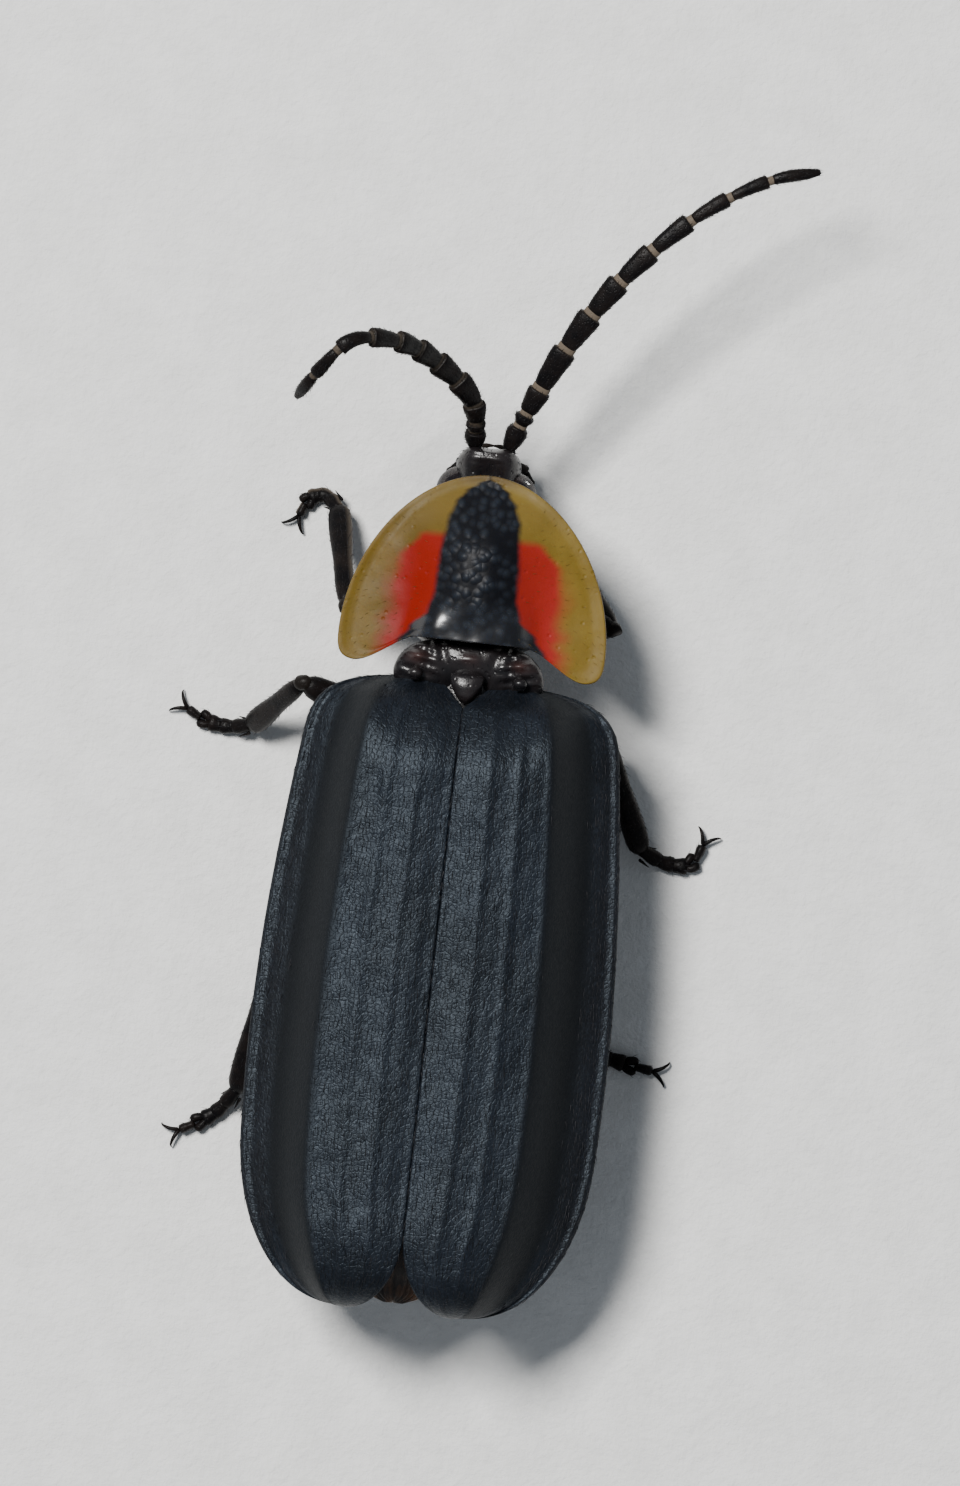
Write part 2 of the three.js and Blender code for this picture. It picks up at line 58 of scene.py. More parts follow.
camera = bpy.data.objects.new("macro_camera", bpy.data.cameras.new("macro_camera"))
bpy.context.scene.collection.objects.link(camera)
bpy.context.scene.camera = camera
camera_back = Vector((-math.sin(SIDE_LEAN), 0, math.cos(SIDE_LEAN)))
camera_up = Vector((math.sin(PICTURE_TURN), -math.cos(PICTURE_TURN), 0))
camera_up = (camera_up - camera_up.dot(camera_back) * camera_back).normalized()
camera_axes = Matrix((camera_up.cross(camera_back), camera_up, camera_back)).transposed()
camera.matrix_world = camera_axes.to_4x4()
camera.location = Vector(metres(AIM)) + camera_back * CAMERA_AWAY * MM
camera.data.sensor_width = 36
camera.data.lens = camera.data.sensor_width * CAMERA_AWAY / PICTURE_HEIGHT
camera.data.clip_start = 0.01
camera.data.clip_end = 10

# Light: a soft key high over the front left, a broad faint fill from behind on the
# right, and an even pale sky. A bare bench of pale plaster stands for the floor.
SKY_STRENGTH = 0.26


def softbox(name, direction, away, size, power, tint):
    """A square light that shines on the middle of the animal."""
    lamp = bpy.data.lights.new(name, "AREA")
    lamp.size = size * MM
    lamp.energy = power
    lamp.color = tint
    stand = bpy.data.objects.new(name, lamp)
    back = Vector(direction).normalized()
    stand.matrix_world = back.to_track_quat("Z", "Y").to_matrix().to_4x4()
    stand.location = Vector(metres((0, 0.8, 1))) + back * away * MM
    bpy.context.scene.collection.objects.link(stand)


softbox("key_light", (0.31, -0.29, 0.9), away=170, size=44, power=0.56, tint=(1.0, 0.985, 0.96))
softbox("fill_light", (-0.6, 0.5, 0.62), away=190, size=120, power=0.01, tint=(0.86, 0.93, 1.0))
world = bpy.data.worlds.new("sky")
bpy.context.scene.world = world
world.use_nodes = True
world.node_tree.nodes["Background"].inputs["Color"].default_value = (0.82, 0.9, 1.0, 1)
world.node_tree.nodes["Background"].inputs["Strength"].default_value = SKY_STRENGTH

FLOOR_HALF = 500
bench_mesh = bpy.data.meshes.new("bench")
bench_corners = [(-1, -1, 0), (1, -1, 0), (1, 1, 0), (-1, 1, 0)]
bench_mesh.from_pydata((np.array(bench_corners) * FLOOR_HALF * MM).tolist(), [], [(0, 1, 2, 3)])
bench = bpy.data.objects.new("bench", bench_mesh)
bpy.context.scene.collection.objects.link(bench)


class Tone:
    """One socket of a node tree. Sums and products of tones add Math nodes."""

    def __init__(self, socket):
        self.socket = socket

    def node(self, kind, settings, inputs, output=0):
        """Any node of the same tree: settings first, then values or links."""
        tree = self.socket.id_data
        made = tree.nodes.new(kind)
        for name, value in settings.items():
            if name == "stops":
                ramp = made.color_ramp
                ramp.interpolation = "EASE"
                for place, level in value[1:-1]:
                    ramp.elements.new(place)
                for element, (place, level) in zip(ramp.elements, value):
                    element.position = place
                    element.color = (level, level, level, 1)
            else:
                setattr(made, name, value)
        for name, value in inputs.items():
            if isinstance(value, Tone):
                tree.links.new(value.socket, made.inputs[name])
            else:
                made.inputs[name].default_value = value
        return Tone(made.outputs[output])

    def maths(self, operation, *values):
        return self.node("ShaderNodeMath", {"operation": operation}, dict(enumerate(values)))

    def __add__(self, other):
        return self.maths("ADD", self, other)

    def __sub__(self, other):
        return self.maths("SUBTRACT", self, other)

    def __rsub__(self, other):
        return self.maths("SUBTRACT", other, self)

    def __mul__(self, other):
        return self.maths("MULTIPLY", self, other)

    __radd__ = __add__
    __rmul__ = __mul__

    def __abs__(self):
        return self.maths("ABSOLUTE", self)

    def between(self, low, high):
        """0 below low, 1 above high and smooth between."""
        settings = {"interpolation_type": "SMOOTHSTEP"}
        inputs = {"Value": self, "From Min": low, "From Max": high}
        return self.node("ShaderNodeMapRange", settings, inputs)

    def steps(self, stops):
        """A level for each place from 0 to 1, smooth between the stops."""
        return self.node("ShaderNodeValToRGB", {"stops": stops}, {0: self})

    def beside(self, output):
        """Another output of the same node."""
        return Tone(self.socket.node.outputs[output])

    def axis(self, name):
        return self.node("ShaderNodeSeparateXYZ", {}, {0: self}, name)

    def stretch(self, x, y, z):
        inputs = {0: self, 1: (x, y, z)}
        return self.node("ShaderNodeVectorMath", {"operation": "MULTIPLY"}, inputs)

    def scaled(self, factor):
        return self.node("ShaderNodeVectorMath", {"operation": "SCALE"}, {0: self, "Scale": factor})

    def plus(self, vector):
        return self.node("ShaderNodeVectorMath", {"operation": "ADD"}, {0: self, 1: vector})

    def clouds(self, scale, detail=3.0, roughness=0.55):
        """Soft noise round 0.5, with features of 1 / scale mm."""
        inputs = {"Vector": self, "Scale": scale, "Detail": detail, "Roughness": roughness}
        return self.node("ShaderNodeTexNoise", {}, inputs)

    def cells(self, scale, feature="F1"):
        """Distance from the middle or the edge of cells, 1 / scale mm across."""
        inputs = {"Vector": self, "Scale": scale}
        return self.node("ShaderNodeTexVoronoi", {"feature": feature}, inputs)

    def mix(self, low, high):
        """A colour between low, where this tone is 0, and high, where it is 1."""
        return self.node("ShaderNodeMix", {"data_type": "RGBA"}, {0: self, 6: low, 7: high}, 2)

    def relief(self, depth, under=None):
        """This tone as a bump of so many mm, over another bump if given."""
        inputs = {"Distance": depth * MM, "Height": self}
        if under is not None:
            inputs["Normal"] = under
        return self.node("ShaderNodeBump", {}, inputs)

    def attribute(self, name):
        return self.node("ShaderNodeAttribute", {"attribute_name": name}, {}, "Fac")


class Finish:
    """A material: one shader with fixed sockets, and what varies laid on it."""

    def __init__(self, name, fixed):
        self.material = bpy.data.materials.new(name)
        self.material.use_nodes = True
        self.tree = self.material.node_tree
        self.shader = self.tree.nodes["Principled BSDF"]
        for socket, value in fixed.items():
            self.shader.inputs[socket].default_value = value
        corner = Tone(self.tree.nodes.new("ShaderNodeTexCoord").outputs["Object"])
        inputs = {0: corner, 1: (1 / MM,) * 3, 2: tuple(-WINGS_FROM_MIDDLE)}
        self.place = corner.node("ShaderNodeVectorMath", {"operation": "MULTIPLY_ADD"}, inputs)

    def lay(self, socket, tone):
        self.tree.links.new(tone.socket, self.shader.inputs[socket])


plaster = Finish("pale_plaster", {"Roughness": 0.85})
speckle = plaster.place.clouds(1.5, 6.0, 0.7)
plaster.lay("Base Color", speckle.between(0.3, 0.7).mix((0.7, 0.7, 0.69, 1), (0.78, 0.78, 0.77, 1)))
plaster.lay("Normal", plaster.place.clouds(8, 4.0, 0.65).relief(0.03))
bench_mesh.materials.append(plaster.material)

# Thorax: the closed trunk that carries the wings and four of the legs. It is a box of
# polished black plates with sunken seams between them, with sparse fine hair.
STERNUM = 1.15
THORAX_RINGS = [
    (-0.34, 0.34, 1.44, 2.1), (-0.24, 0.52, 1.3, 2.2), (-0.05, 0.8, 1.2, 2.26),
    (0.3, 1.14, STERNUM, 2.36), (0.8, 1.34, STERNUM - 0.02, 2.56), (1.4, 1.4, STERNUM - 0.03, 2.56),
    (2.1, 1.4, STERNUM - 0.02, 2.5), (2.6, 1.3, STERNUM + 0.05, 2.4), (2.86, 1.06, 1.3, 2.3),
]
BLACK = (0.0045, 0.0043, 0.0052, 1)


def smoothstep(x, low, high):
    t = np.clip((x - low) / (high - low), 0, 1)
    return t * t * (3 - 2 * t)


def bump(x, middle, width):
    return np.exp(-(((x - middle) / width) ** 2))


def rounded(t, power=2.0):
    """A quarter of a rounded square: 1 at t = 0 and 0 at t = 1."""
    return np.maximum(0, 1 - np.abs(t) ** power) ** (1 / power)


def mix(a, b, t):
    return a + (b - a) * t


def through(table, t):
    """Values at t on smooth curves through a table's rows, whose first column is t."""
    rows = np.array(table, float)
    at, values = rows[:, 0], rows[:, 1:]
    slopes = np.gradient(values, at, axis=0)
    t = np.clip(np.asarray(t, float), at[0], at[-1])
    k = np.clip(np.searchsorted(at, t, side="right") - 1, 0, len(at) - 2)
    step = (at[k + 1] - at[k])[:, None]
    s = (t - at[k])[:, None] / step
    ends = (1 + 2 * s) * (1 - s) ** 2 * values[k] + s * s * (3 - 2 * s) * values[k + 1]
    leaning = s * (1 - s) ** 2 * slopes[k] + s * s * (s - 1) * slopes[k + 1]
    return ends + leaning * step


def rough(points, scale, seed):
    """Noise from -1 to 1 at each point, with features of 1 / scale mm."""
    flat = np.asarray(points, float).reshape(-1, 3)
    shift = Vector((seed * 7.3, seed * 3.1, seed * 5.7))
    found = [noise.noise(Vector(p) * scale + shift) for p in flat]
    return np.array(found).reshape(np.shape(points)[:-1])


def squircle(count, power):
    """Cosines and sines round a circle, which a power above 2 squares off."""
    turn = np.linspace(0, 2 * math.pi, count, endpoint=False)
    return [np.sign(w) * np.abs(w) ** (2 / power) for w in (np.cos(turn), np.sin(turn))]


class Skin:
    """One piece's surface in mm: closed tubes, each with the way its hairs lie."""

    END_SHARE = 0.04

    def __init__(self):
        self.points = np.zeros((0, 3))
        self.lies = np.zeros((0, 3))
        self.marks = np.zeros((0, 2))
        self.faces = []
        self.corners = []

    def add(self, rings, coat=1.0, pale=0.0):
        """A tube over a row of rings, drawn shut at both ends, with its faces outwards."""
        rings = np.asarray(rings, float)
        rows, count = rings.shape[:2]
        start = len(self.points)
        along = np.gradient(rings, axis=0)
        along /= np.linalg.norm(along, axis=2, keepdims=True) + 1e-9
        marks = np.stack([np.broadcast_to(mark, (rows, count)) for mark in (coat, pale)], axis=2)
        self.points = np.vstack([self.points, rings.reshape(-1, 3), rings[[0, -1]].mean(axis=1)])
        self.lies = np.vstack([self.lies, along.reshape(-1, 3), along[[0, -1]].mean(axis=1)])
        self.marks = np.vstack([self.marks, marks.reshape(-1, 2), marks[[0, -1]].mean(axis=1)])
        faces, corners = [], []
        heights = np.linspace(self.END_SHARE, 1 - self.END_SHARE, rows).tolist()
        for row, (low, high) in enumerate(zip(heights, heights[1:])):
            for i in range(count):
                a = start + row * count + i
                b = start + row * count + (i + 1) % count
                left, right = i / count, (i + 1) / count
                faces.append([a, b, b + count, a + count])
                corners.append([(left, low), (right, low), (right, high), (left, high)])
        for tip, row, turn in ((0, 0, -1), (1, rows - 1, 1)):
            end = start + rows * count + tip
            base = start + row * count
            for i in range(count):
                faces.append([end, base + i, base + (i + 1) % count][::turn])
                rim = [(i / count, heights[row]), ((i + 1) / count, heights[row])]
                corners.append([((i + 0.5) / count, tip), *rim][::turn])
        fans = [(face[0], face[i], face[i + 1]) for face in faces for i in range(1, len(face) - 1)]
        a, b, c = np.moveaxis(self.points[np.array(fans)], 1, 0)
        if np.sum(a * np.cross(b, c)) < 0:
            faces = [face[::-1] for face in faces]
            corners = [corner[::-1] for corner in corners]
        self.faces += faces
        self.corners.append(corners)
        return self

    def build(self, name, finish):
        """The piece as an object, its tubes unwrapped side by side on a square."""
        mesh = bpy.data.meshes.new(name)
        mesh.from_pydata(metres(self.points).tolist(), [], self.faces)
        side = math.ceil(math.sqrt(len(self.corners)))
        unwrap = [((u + k % side) / side, (v + k // side) / side)
                  for k, tube in enumerate(self.corners) for face in tube for u, v in face]
        mesh.uv_layers.new(name="unwrap").uv.foreach_set("vector", np.array(unwrap).ravel())
        mesh.attributes.new("lie", "FLOAT_VECTOR", "POINT").data.foreach_set("vector", self.lies.ravel())
        for mark, values in zip(("coat", "pale"), self.marks.T):
            mesh.attributes.new(mark, "FLOAT", "POINT").data.foreach_set("value", values.copy())
        mesh.materials.append(finish.material)
        mesh.shade_smooth()
        piece = bpy.data.objects.new(name, mesh)
        bpy.context.scene.collection.objects.link(piece)
        return piece


def hull(table, rows, sides, power=2.3, lean=0.0):
    """Rings of a trunk part from a table of y, half width, underside and top."""
    share = (1 - np.cos(np.linspace(0, math.pi, rows))) / 2
    share = mix(share, np.linspace(0, 1, rows), 0.6)
    y = mix(table[0][0], table[-1][0], share)
    half, low, high = through(table, y).T
    c, s = squircle(sides, power)
    rings = np.zeros((rows, sides, 3))
    rings[..., 0] = lean + half[:, None] * c
    rings[..., 1] = y[:, None]
    rings[..., 2] = ((low + high) / 2)[:, None] + ((high - low) / 2)[:, None] * s
    return rings


polish = Finish("polished_cuticle", {"IOR": 1.5, "Specular IOR Level": 0.4})
wear = polish.place.clouds(2.2, 4.0)
tint = wear.between(0.35, 0.7).mix(BLACK, (0.011, 0.0085, 0.009, 1))
soft_skin = polish.place.attribute("pale")
polish.lay("Base Color", soft_skin.mix(tint, (0.07, 0.03, 0.026, 1)))
polish.lay("Roughness", 0.17 + 0.26 * polish.place.clouds(9) + 0.2 * soft_skin)
shagreen = polish.place.clouds(55, 2.0).relief(0.0025)
polish.lay("Normal", polish.place.cells(13).between(0.0, 0.33).relief(0.006, shagreen))

thorax_rings = hull(THORAX_RINGS, 90, 96)
x, y, z = np.moveaxis(thorax_rings, 2, 0)
under = smoothstep(1.6 - z, 0, 0.35)
middle_seam = 0.07 * bump(x, 0, 0.035) * smoothstep(y, 0.9, 1.2)
front_seam = 0.09 * bump(y, 0.42 + 0.2 * np.abs(x), 0.05)
side_seams = 0.06 * bump(np.abs(x), 0.95 + 0.1 * y, 0.05) * smoothstep(y, 0.5, 0.8)
rear_seam = 0.12 * bump(y, 2.5 - 0.25 * np.abs(x), 0.06)
hip_hollow = 0.2 * bump(x, 0, 0.1) * bump(y, 0.65, 0.25)
thorax_rings[..., 2] += (middle_seam + front_seam + side_seams + rear_seam + hip_hollow) * under
thorax = Skin().add(thorax_rings, coat=under).build("thorax_skin", polish)
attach(thorax, "root")
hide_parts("thorax")

# Coat: short fine black hairs that lie back along the cuticle. Each is a bent
# three-sided spike set in its skin, and the same tree grows all the coats.
HAIR_PATCH = 0.003
HAIR_SAG = 2.2
HAIR_LEAST = 0.6
HAIR_MOST = 1.15


def grown(host, name, tree, values, finish):
    """Runs a node tree on a host and keeps what it grows as a plain piece."""
    piece = host.copy()
    piece.data = host.data.copy()
    piece.name = name
    bpy.context.scene.collection.objects.link(piece)
    modifier = piece.modifiers.new(name, "NODES")
    modifier.node_group = tree
    given = {**values, "Finish": finish.material}
    for item in tree.interface.items_tree:
        if item.item_type == "SOCKET" and item.name in given:
            modifier[item.identifier] = given[item.name]
    bpy.context.view_layer.update()
    evaluated = piece.evaluated_get(bpy.context.evaluated_depsgraph_get())
    grown_mesh = bpy.data.meshes.new_from_object(evaluated)
    piece.modifiers.remove(modifier)
    piece.data = grown_mesh
    grown_mesh.name = name
    for extra in ("lie", "coat", "pale", "unwrap", "strand"):
        if extra in grown_mesh.attributes:
            grown_mesh.attributes.remove(grown_mesh.attributes[extra])
    for key in list(piece.keys()):
        if key.startswith("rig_"):
            del piece[key]
    piece.parent = None
    return piece


class Branch:
    """A geometry tree with a named input for each size and for its finish."""

    def __init__(self, name, **sizes):
        self.tree = bpy.data.node_groups.new(name, "GeometryNodeTree")
        sockets = self.tree.interface
        sockets.new_socket("Geometry", in_out="INPUT", socket_type="NodeSocketGeometry")
        for label, value in sizes.items():
            kind = "NodeSocketInt" if isinstance(value, int) else "NodeSocketFloat"
            sockets.new_socket(label, in_out="INPUT", socket_type=kind).default_value = value
        sockets.new_socket("Finish", in_out="INPUT", socket_type="NodeSocketMaterial")
        sockets.new_socket("Geometry", in_out="OUTPUT", socket_type="NodeSocketGeometry")
        given = self.tree.nodes.new("NodeGroupInput").outputs
        self.given = {socket.name: Tone(socket) for socket in given if socket.name}
        self.node = self.given["Geometry"].node

    def named(self, name, kind="FLOAT_VECTOR"):
        return self.node("GeometryNodeInputNamedAttribute", {"data_type": kind}, {"Name": name})

    def real(self, geometry):
        return self.node("GeometryNodeRealizeInstances", {}, {"Geometry": geometry})

    def close(self, geometry):
        """Gives the geometry its finish and ends the tree with it."""
        inputs = {"Geometry": geometry, "Material": self.given["Finish"]}
        painted = self.node("GeometryNodeSetMaterial", {}, inputs)
        self.tree.links.new(painted.socket, self.tree.nodes.new("NodeGroupOutput").inputs[0])
        return self.tree


coat = Branch("coat_of_hair", Spacing=0.045, Length=0.12, Width=0.009, Lift=0.3, Spread=0.2, Seed=1)
given = coat.given

# One hair: it sags towards its tip, and remembers its own patch of the unwrap.
hair = coat.node("GeometryNodeMeshCone", {"fill_type": "NGON"},
                 {"Vertices": 3, "Side Segments": 2, "Radius Top": 0.0, "Radius Bottom": 1.0, "Depth": 1.0})
hair_up = coat.node("GeometryNodeInputPosition", {}, {}).axis("Z")
hair_sag = coat.node("ShaderNodeCombineXYZ", {}, {"X": hair_up * hair_up}).scaled(-HAIR_SAG)
hair = coat.node("GeometryNodeSetPosition", {}, {"Geometry": hair, "Offset": hair_sag})
strand_place = coat.node("ShaderNodeCombineXYZ", {}, {"X": hair_up.beside("Y"), "Y": hair_up})
hair = coat.node("GeometryNodeStoreNamedAttribute", {"data_type": "FLOAT_VECTOR", "domain": "POINT"},
                 {"Geometry": hair, "Name": "strand", "Value": strand_place})

# Its roots: spread evenly over the skin where that has hair, each turned to the way
# the hairs lie there, a little ruffled and of its own length.
spacing = given["Spacing"] * MM
roots = coat.node("GeometryNodeDistributePointsOnFaces", {"distribute_method": "POISSON"}, {
    "Mesh": given["Geometry"], "Distance Min": spacing, "Density Factor": coat.named("coat", "FLOAT"),
    "Density Max": spacing.maths("POWER", spacing, -2.0), "Seed": given["Seed"]}, "Points")
outwards = roots.beside("Normal")
ruffle = coat.node("FunctionNodeRandomValue", {"data_type": "FLOAT_VECTOR"},
                   {"Min": (-1, -1, -1), "Max": (1, 1, 1), "Seed": given["Seed"]})
hair_way = coat.named("lie").plus(outwards.scaled(given["Lift"])).plus(ruffle.scaled(given["Spread"]))
hair_turn = coat.node("FunctionNodeAlignRotationToVector", {"axis": "Z"}, {"Vector": hair_way})
hair_turn = coat.node("FunctionNodeAlignRotationToVector", {"axis": "X", "pivot_axis": "Z"},
                      {"Rotation": hair_turn, "Vector": outwards})
hair_size = coat.node("ShaderNodeCombineXYZ", {}, {
    "X": given["Width"], "Y": given["Width"], "Z": given["Length"]})
hair_vary = coat.node("FunctionNodeRandomValue", {"data_type": "FLOAT"},
                      {2: HAIR_LEAST * MM, 3: HAIR_MOST * MM, "Seed": given["Seed"]}, 1)
hairs = coat.real(coat.node("GeometryNodeInstanceOnPoints", {}, {
    "Points": roots, "Instance": hair, "Rotation": hair_turn, "Scale": hair_size.scaled(hair_vary)}))
patch = coat.named("unwrap").plus(coat.named("strand").scaled(HAIR_PATCH / 2))
hairs = coat.node("GeometryNodeStoreNamedAttribute", {"data_type": "FLOAT2", "domain": "CORNER"},
                  {"Geometry": hairs, "Name": "OFBake", "Value": patch})
coat_tree = coat.close(hairs)


def add_coat(host, name, slot, finish, **sizes):
    """A coat of hair on a host skin, riding with it. Hairs that reach the floor lie on it."""
    hairs = grown(host, name, coat_tree, sizes, finish)
    for point in hairs.data.vertices:
        point.co.z = max(point.co.z, 0)
    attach(hairs, "root")


down = Finish("fine_down", {"Roughness": 0.65, "Specular IOR Level": 0.12})
down_shade = down.place.clouds(6, 2.0).between(0.3, 0.7)
down.lay("Base Color", down_shade.mix((0.006, 0.0065, 0.008, 1), (0.022, 0.022, 0.025, 1)))
add_coat(thorax, "thorax_coat", "glossy_cuticle", down,
         Spacing=0.085, Length=0.16, Width=0.006, Lift=0.3, Seed=3)

# Prothorax: the block of the first pair of legs, hidden under the shield. Its soft
# neck runs forward to the head, and its top lies close under the shield.
PROTHORAX_RINGS = [
    (-2.12, 0.26, 1.22, 1.6), (-1.9, 0.38, 1.2, 1.8), (-1.7, 0.56, 1.16, 2.05), (-1.3, 0.78, 1.13, 2.38),
    (-0.8, 0.86, 1.13, 2.4), (-0.6, 0.82, 1.18, 2.32), (-0.44, 0.64, 1.32, 2.25), (-0.36, 0.4, 1.5, 2.1),
]
prothorax_rings = hull(PROTHORAX_RINGS, 70, 80)
x, y, z = np.moveaxis(prothorax_rings, 2, 0)
under = smoothstep(1.6 - z, 0, 0.35)
neck = smoothstep(-y, 1.62, 1.8)
folds = 0.02 * np.sin(y * 70) * neck
keel = 0.12 * bump(x, 0, 0.12) * bump(y, -1.0, 0.3)
seams = 0.09 * bump(np.abs(x), 0.5 + 0.25 * (y + 1.2), 0.05) * (1 - neck)
prothorax_rings[..., 2] += (seams - keel) * under + folds
prothorax_skin = Skin().add(prothorax_rings, coat=under * (1 - neck), pale=neck * 0.8)
prothorax = prothorax_skin.build("prothorax_skin", polish)
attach(prothorax, "root")
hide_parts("prothorax")
add_coat(prothorax, "prothorax_coat", "glossy_cuticle", down,
         Spacing=0.08, Length=0.14, Width=0.006, Seed=4)

# Abdomen: seven soft-edged plates above and below, each with its hind edge over the
# front of the next and its corners drawn back to a point. It is dull brown-black.
WAIST = 2.9
ABDOMEN_LENGTH = 4.82
PLATES = 7
PLATE_ROWS = [(0.0, -0.075), (0.05, -0.05), (0.12, -0.02), (0.25, 0.0), (0.45, 0.008), (0.65, 0.012),
              (0.82, 0.02), (0.93, 0.034), (0.98, 0.04), (1.0, 0.03), (1.005, 0.0), (1.0, -0.04)]


def abdomen_rings():
    """Rings of all the plates from the waist to the tip, with a lip on each."""
    c, s = squircle(128, 2.3)
    corner = bump(np.abs(c), 0.97, 0.13)
    rings, edges = [], []
    for plate in range(PLATES):
        for share, swell in PLATE_ROWS:
            t = (plate + share) / PLATES
            half = mix(1.08, 1.48, smoothstep(t, 0, 0.28)) * rounded(max(0, (t - 0.35) / 0.68), 2.6)
            low = mix(1.2, 0.87, smoothstep(t, 0, 0.3)) + 0.3 * smoothstep(t, 0.7, 1)
            high = 2.3 - 0.72 * smoothstep(t, 0.7, 1.05)
            drawn = 0.13 * smoothstep(share, 0.5, 1.0) - 0.05 * (1 - smoothstep(share, 0, 0.3))
            hollow = 0.06 * (1 - c * c) if plate < PLATES - 1 else 0
            pleat = 0.02 * bump(np.abs(c), 1.0, 0.05) * abs(math.sin(share * 25))
            x = (max(half, 0.18) + swell * (1 + 0.6 * corner)) * c - np.sign(c) * pleat
            y = WAIST + t * ABDOMEN_LENGTH + drawn * corner - hollow
            rings.append(np.stack([x, y, (low + high) / 2 + ((high - low) / 2 + swell) * s], 1))
            edges.append(smoothstep(share, 0.86, 0.96))
    return np.array(rings), np.array(edges)[:, None]


belly = Finish("belly_cuticle", {"IOR": 1.5})
belly_edge = belly.place.attribute("pale")
belly_cloud = belly.place.clouds(3, 4.0).between(0.3, 0.7)
belly_shade = belly_cloud.mix((0.02, 0.0135, 0.01, 1), (0.04, 0.027, 0.019, 1))
belly.lay("Base Color", belly_edge.mix(belly_shade, (0.14, 0.085, 0.045, 1)))
belly.lay("Roughness", 0.36 + 0.2 * belly.place.clouds(8))
belly_net = belly.place.stretch(1, 2.2, 1).cells(16, "DISTANCE_TO_EDGE").between(0.0, 0.12)
belly.lay("Normal", belly_net.relief(0.0035, belly.place.clouds(30).relief(0.004)))
plate_rings, plate_edges = abdomen_rings()
abdomen_skin = Skin().add(plate_rings, coat=1 - 0.6 * plate_edges, pale=0.75 * plate_edges)
abdomen = abdomen_skin.build("abdomen_skin", belly)
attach(abdomen, "root")
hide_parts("abdomen")
add_coat(abdomen, "abdomen_coat", "belly_cuticle", down,
         Spacing=0.075, Length=0.15, Width=0.007, Seed=5)

# Hind wings: two smoky brown membranes, folded lengthwise and laid one over the other
# on the end of the abdomen. Their creased tips show where the wing covers part.
WING_RINGS = [
    (6.5, 0.5, 2.36, 2.42), (6.8, 0.66, 2.3, 2.44), (7.1, 0.66, 2.16, 2.42), (7.4, 0.52, 2.02, 2.3),
    (7.65, 0.42, 1.92, 2.14), (7.78, 0.32, 1.91, 2.08), (7.86, 0.12, 1.94, 2.02),
]
WING_CREASES = 11
WING_ASIDE = 0.1
membrane = Finish("wing_membrane", {"Specular IOR Level": 0.4})
veins = membrane.place.stretch(1, 0.15, 1).clouds(9, 4.0, 0.6).between(0.42, 0.62)
membrane.lay("Base Color", veins.mix((0.012, 0.006, 0.0035, 1), (0.075, 0.035, 0.016, 1)))
membrane.lay("Roughness", 0.3 + 0.25 * membrane.place.clouds(7))
membrane.lay("Normal", membrane.place.stretch(1, 0.2, 1).clouds(24).relief(0.006))
folded_skin = Skin()
for side, sunk, drawn_in in ((1, 0.0, 0.0), (-1, 0.05, 0.12)):
    wing_rings = hull(WING_RINGS, 60, 120, 2.4, side * WING_ASIDE)
    x, y, z = np.moveaxis(wing_rings, 2, 0)
    half = through([ring[:2] for ring in WING_RINGS], y[:, 0])
    crease = np.abs(np.sin((x - side * WING_ASIDE) / half * WING_CREASES * math.pi / 2)) - 0.6
    wing_rings[..., 2] += 0.035 * crease * smoothstep(z, 2.0, 2.2) - sunk
    wing_rings[..., 1] += 0.05 * crease * smoothstep(y, 7.3, 7.8) - drawn_in
    folded_skin.add(wing_rings)
folded = folded_skin.build("folded_hind_wings", membrane)
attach(folded, "root")
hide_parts("hind_wings")

# Legs: six of the same make, each bent as the animal stands. A cone of a coxa, a
# flattened femur and tibia, two spurs, five short foot joints and two hooked claws.
LEG_JOINTS = {
    "front_left": [(0.2, -1.0, 0.95), (0.62, -1.05, 0.66), (1.68, -0.75, 1.28), (1.98, -2.04, 0.26),
                   (2.18, -2.15, 0.12), (2.38, -2.08, 0.1), (2.48, -1.86, 0.1)],
    "front_right": [(-0.2, -1.0, 0.95), (-0.62, -1.05, 0.66), (-1.72, -0.83, 1.28), (-0.92, -1.76, 0.26),
                    (-0.84, -2.02, 0.12), (-0.66, -2.17, 0.1), (-0.38, -2.21, 0.1)],
    "mid_left": [(0.25, 0.7, 0.95), (0.75, 0.75, 0.66), (2.11, 0.24, 1.52), (2.79, 0.87, 0.26),
                 (3.1, 0.9, 0.12), (3.39, 0.85, 0.1), (3.62, 0.73, 0.1)],
    "mid_right": [(-0.25, 0.7, 0.95), (-0.75, 0.8, 0.66), (-1.72, 0.45, 1.22), (-2.32, 1.93, 0.26),
                  (-2.64, 2.02, 0.12), (-2.96, 2.0, 0.1), (-3.08, 1.74, 0.1)],
    "hind_left": [(0.3, 2.2, 0.95), (0.8, 2.4, 0.66), (2.08, 3.6, 1.28), (2.46, 5.52, 0.26),
                  (2.68, 5.76, 0.12), (2.92, 5.94, 0.1), (3.14, 6.06, 0.1)],
    "hind_right": [(-0.3, 2.2, 0.95), (-0.8, 2.4, 0.66), (-1.9, 3.1, 1.28), (-1.72, 4.7, 0.26),
                   (-2.12, 4.56, 0.12), (-2.48, 4.62, 0.1), (-2.76, 4.66, 0.1)],
}
COXA = [(0, 0.2, 0.2), (0.3, 0.27, 0.24), (0.7, 0.24, 0.21), (1, 0.15, 0.15)]
TROCHANTER = [(0, 0.1, 0.1), (0.5, 0.15, 0.14), (1, 0.1, 0.1)]
FEMUR = [(0, 0.1, 0.1), (0.12, 0.15, 0.13), (0.4, 0.2, 0.155), (0.75, 0.18, 0.145), (0.93, 0.14, 0.125),
         (1, 0.11, 0.11)]
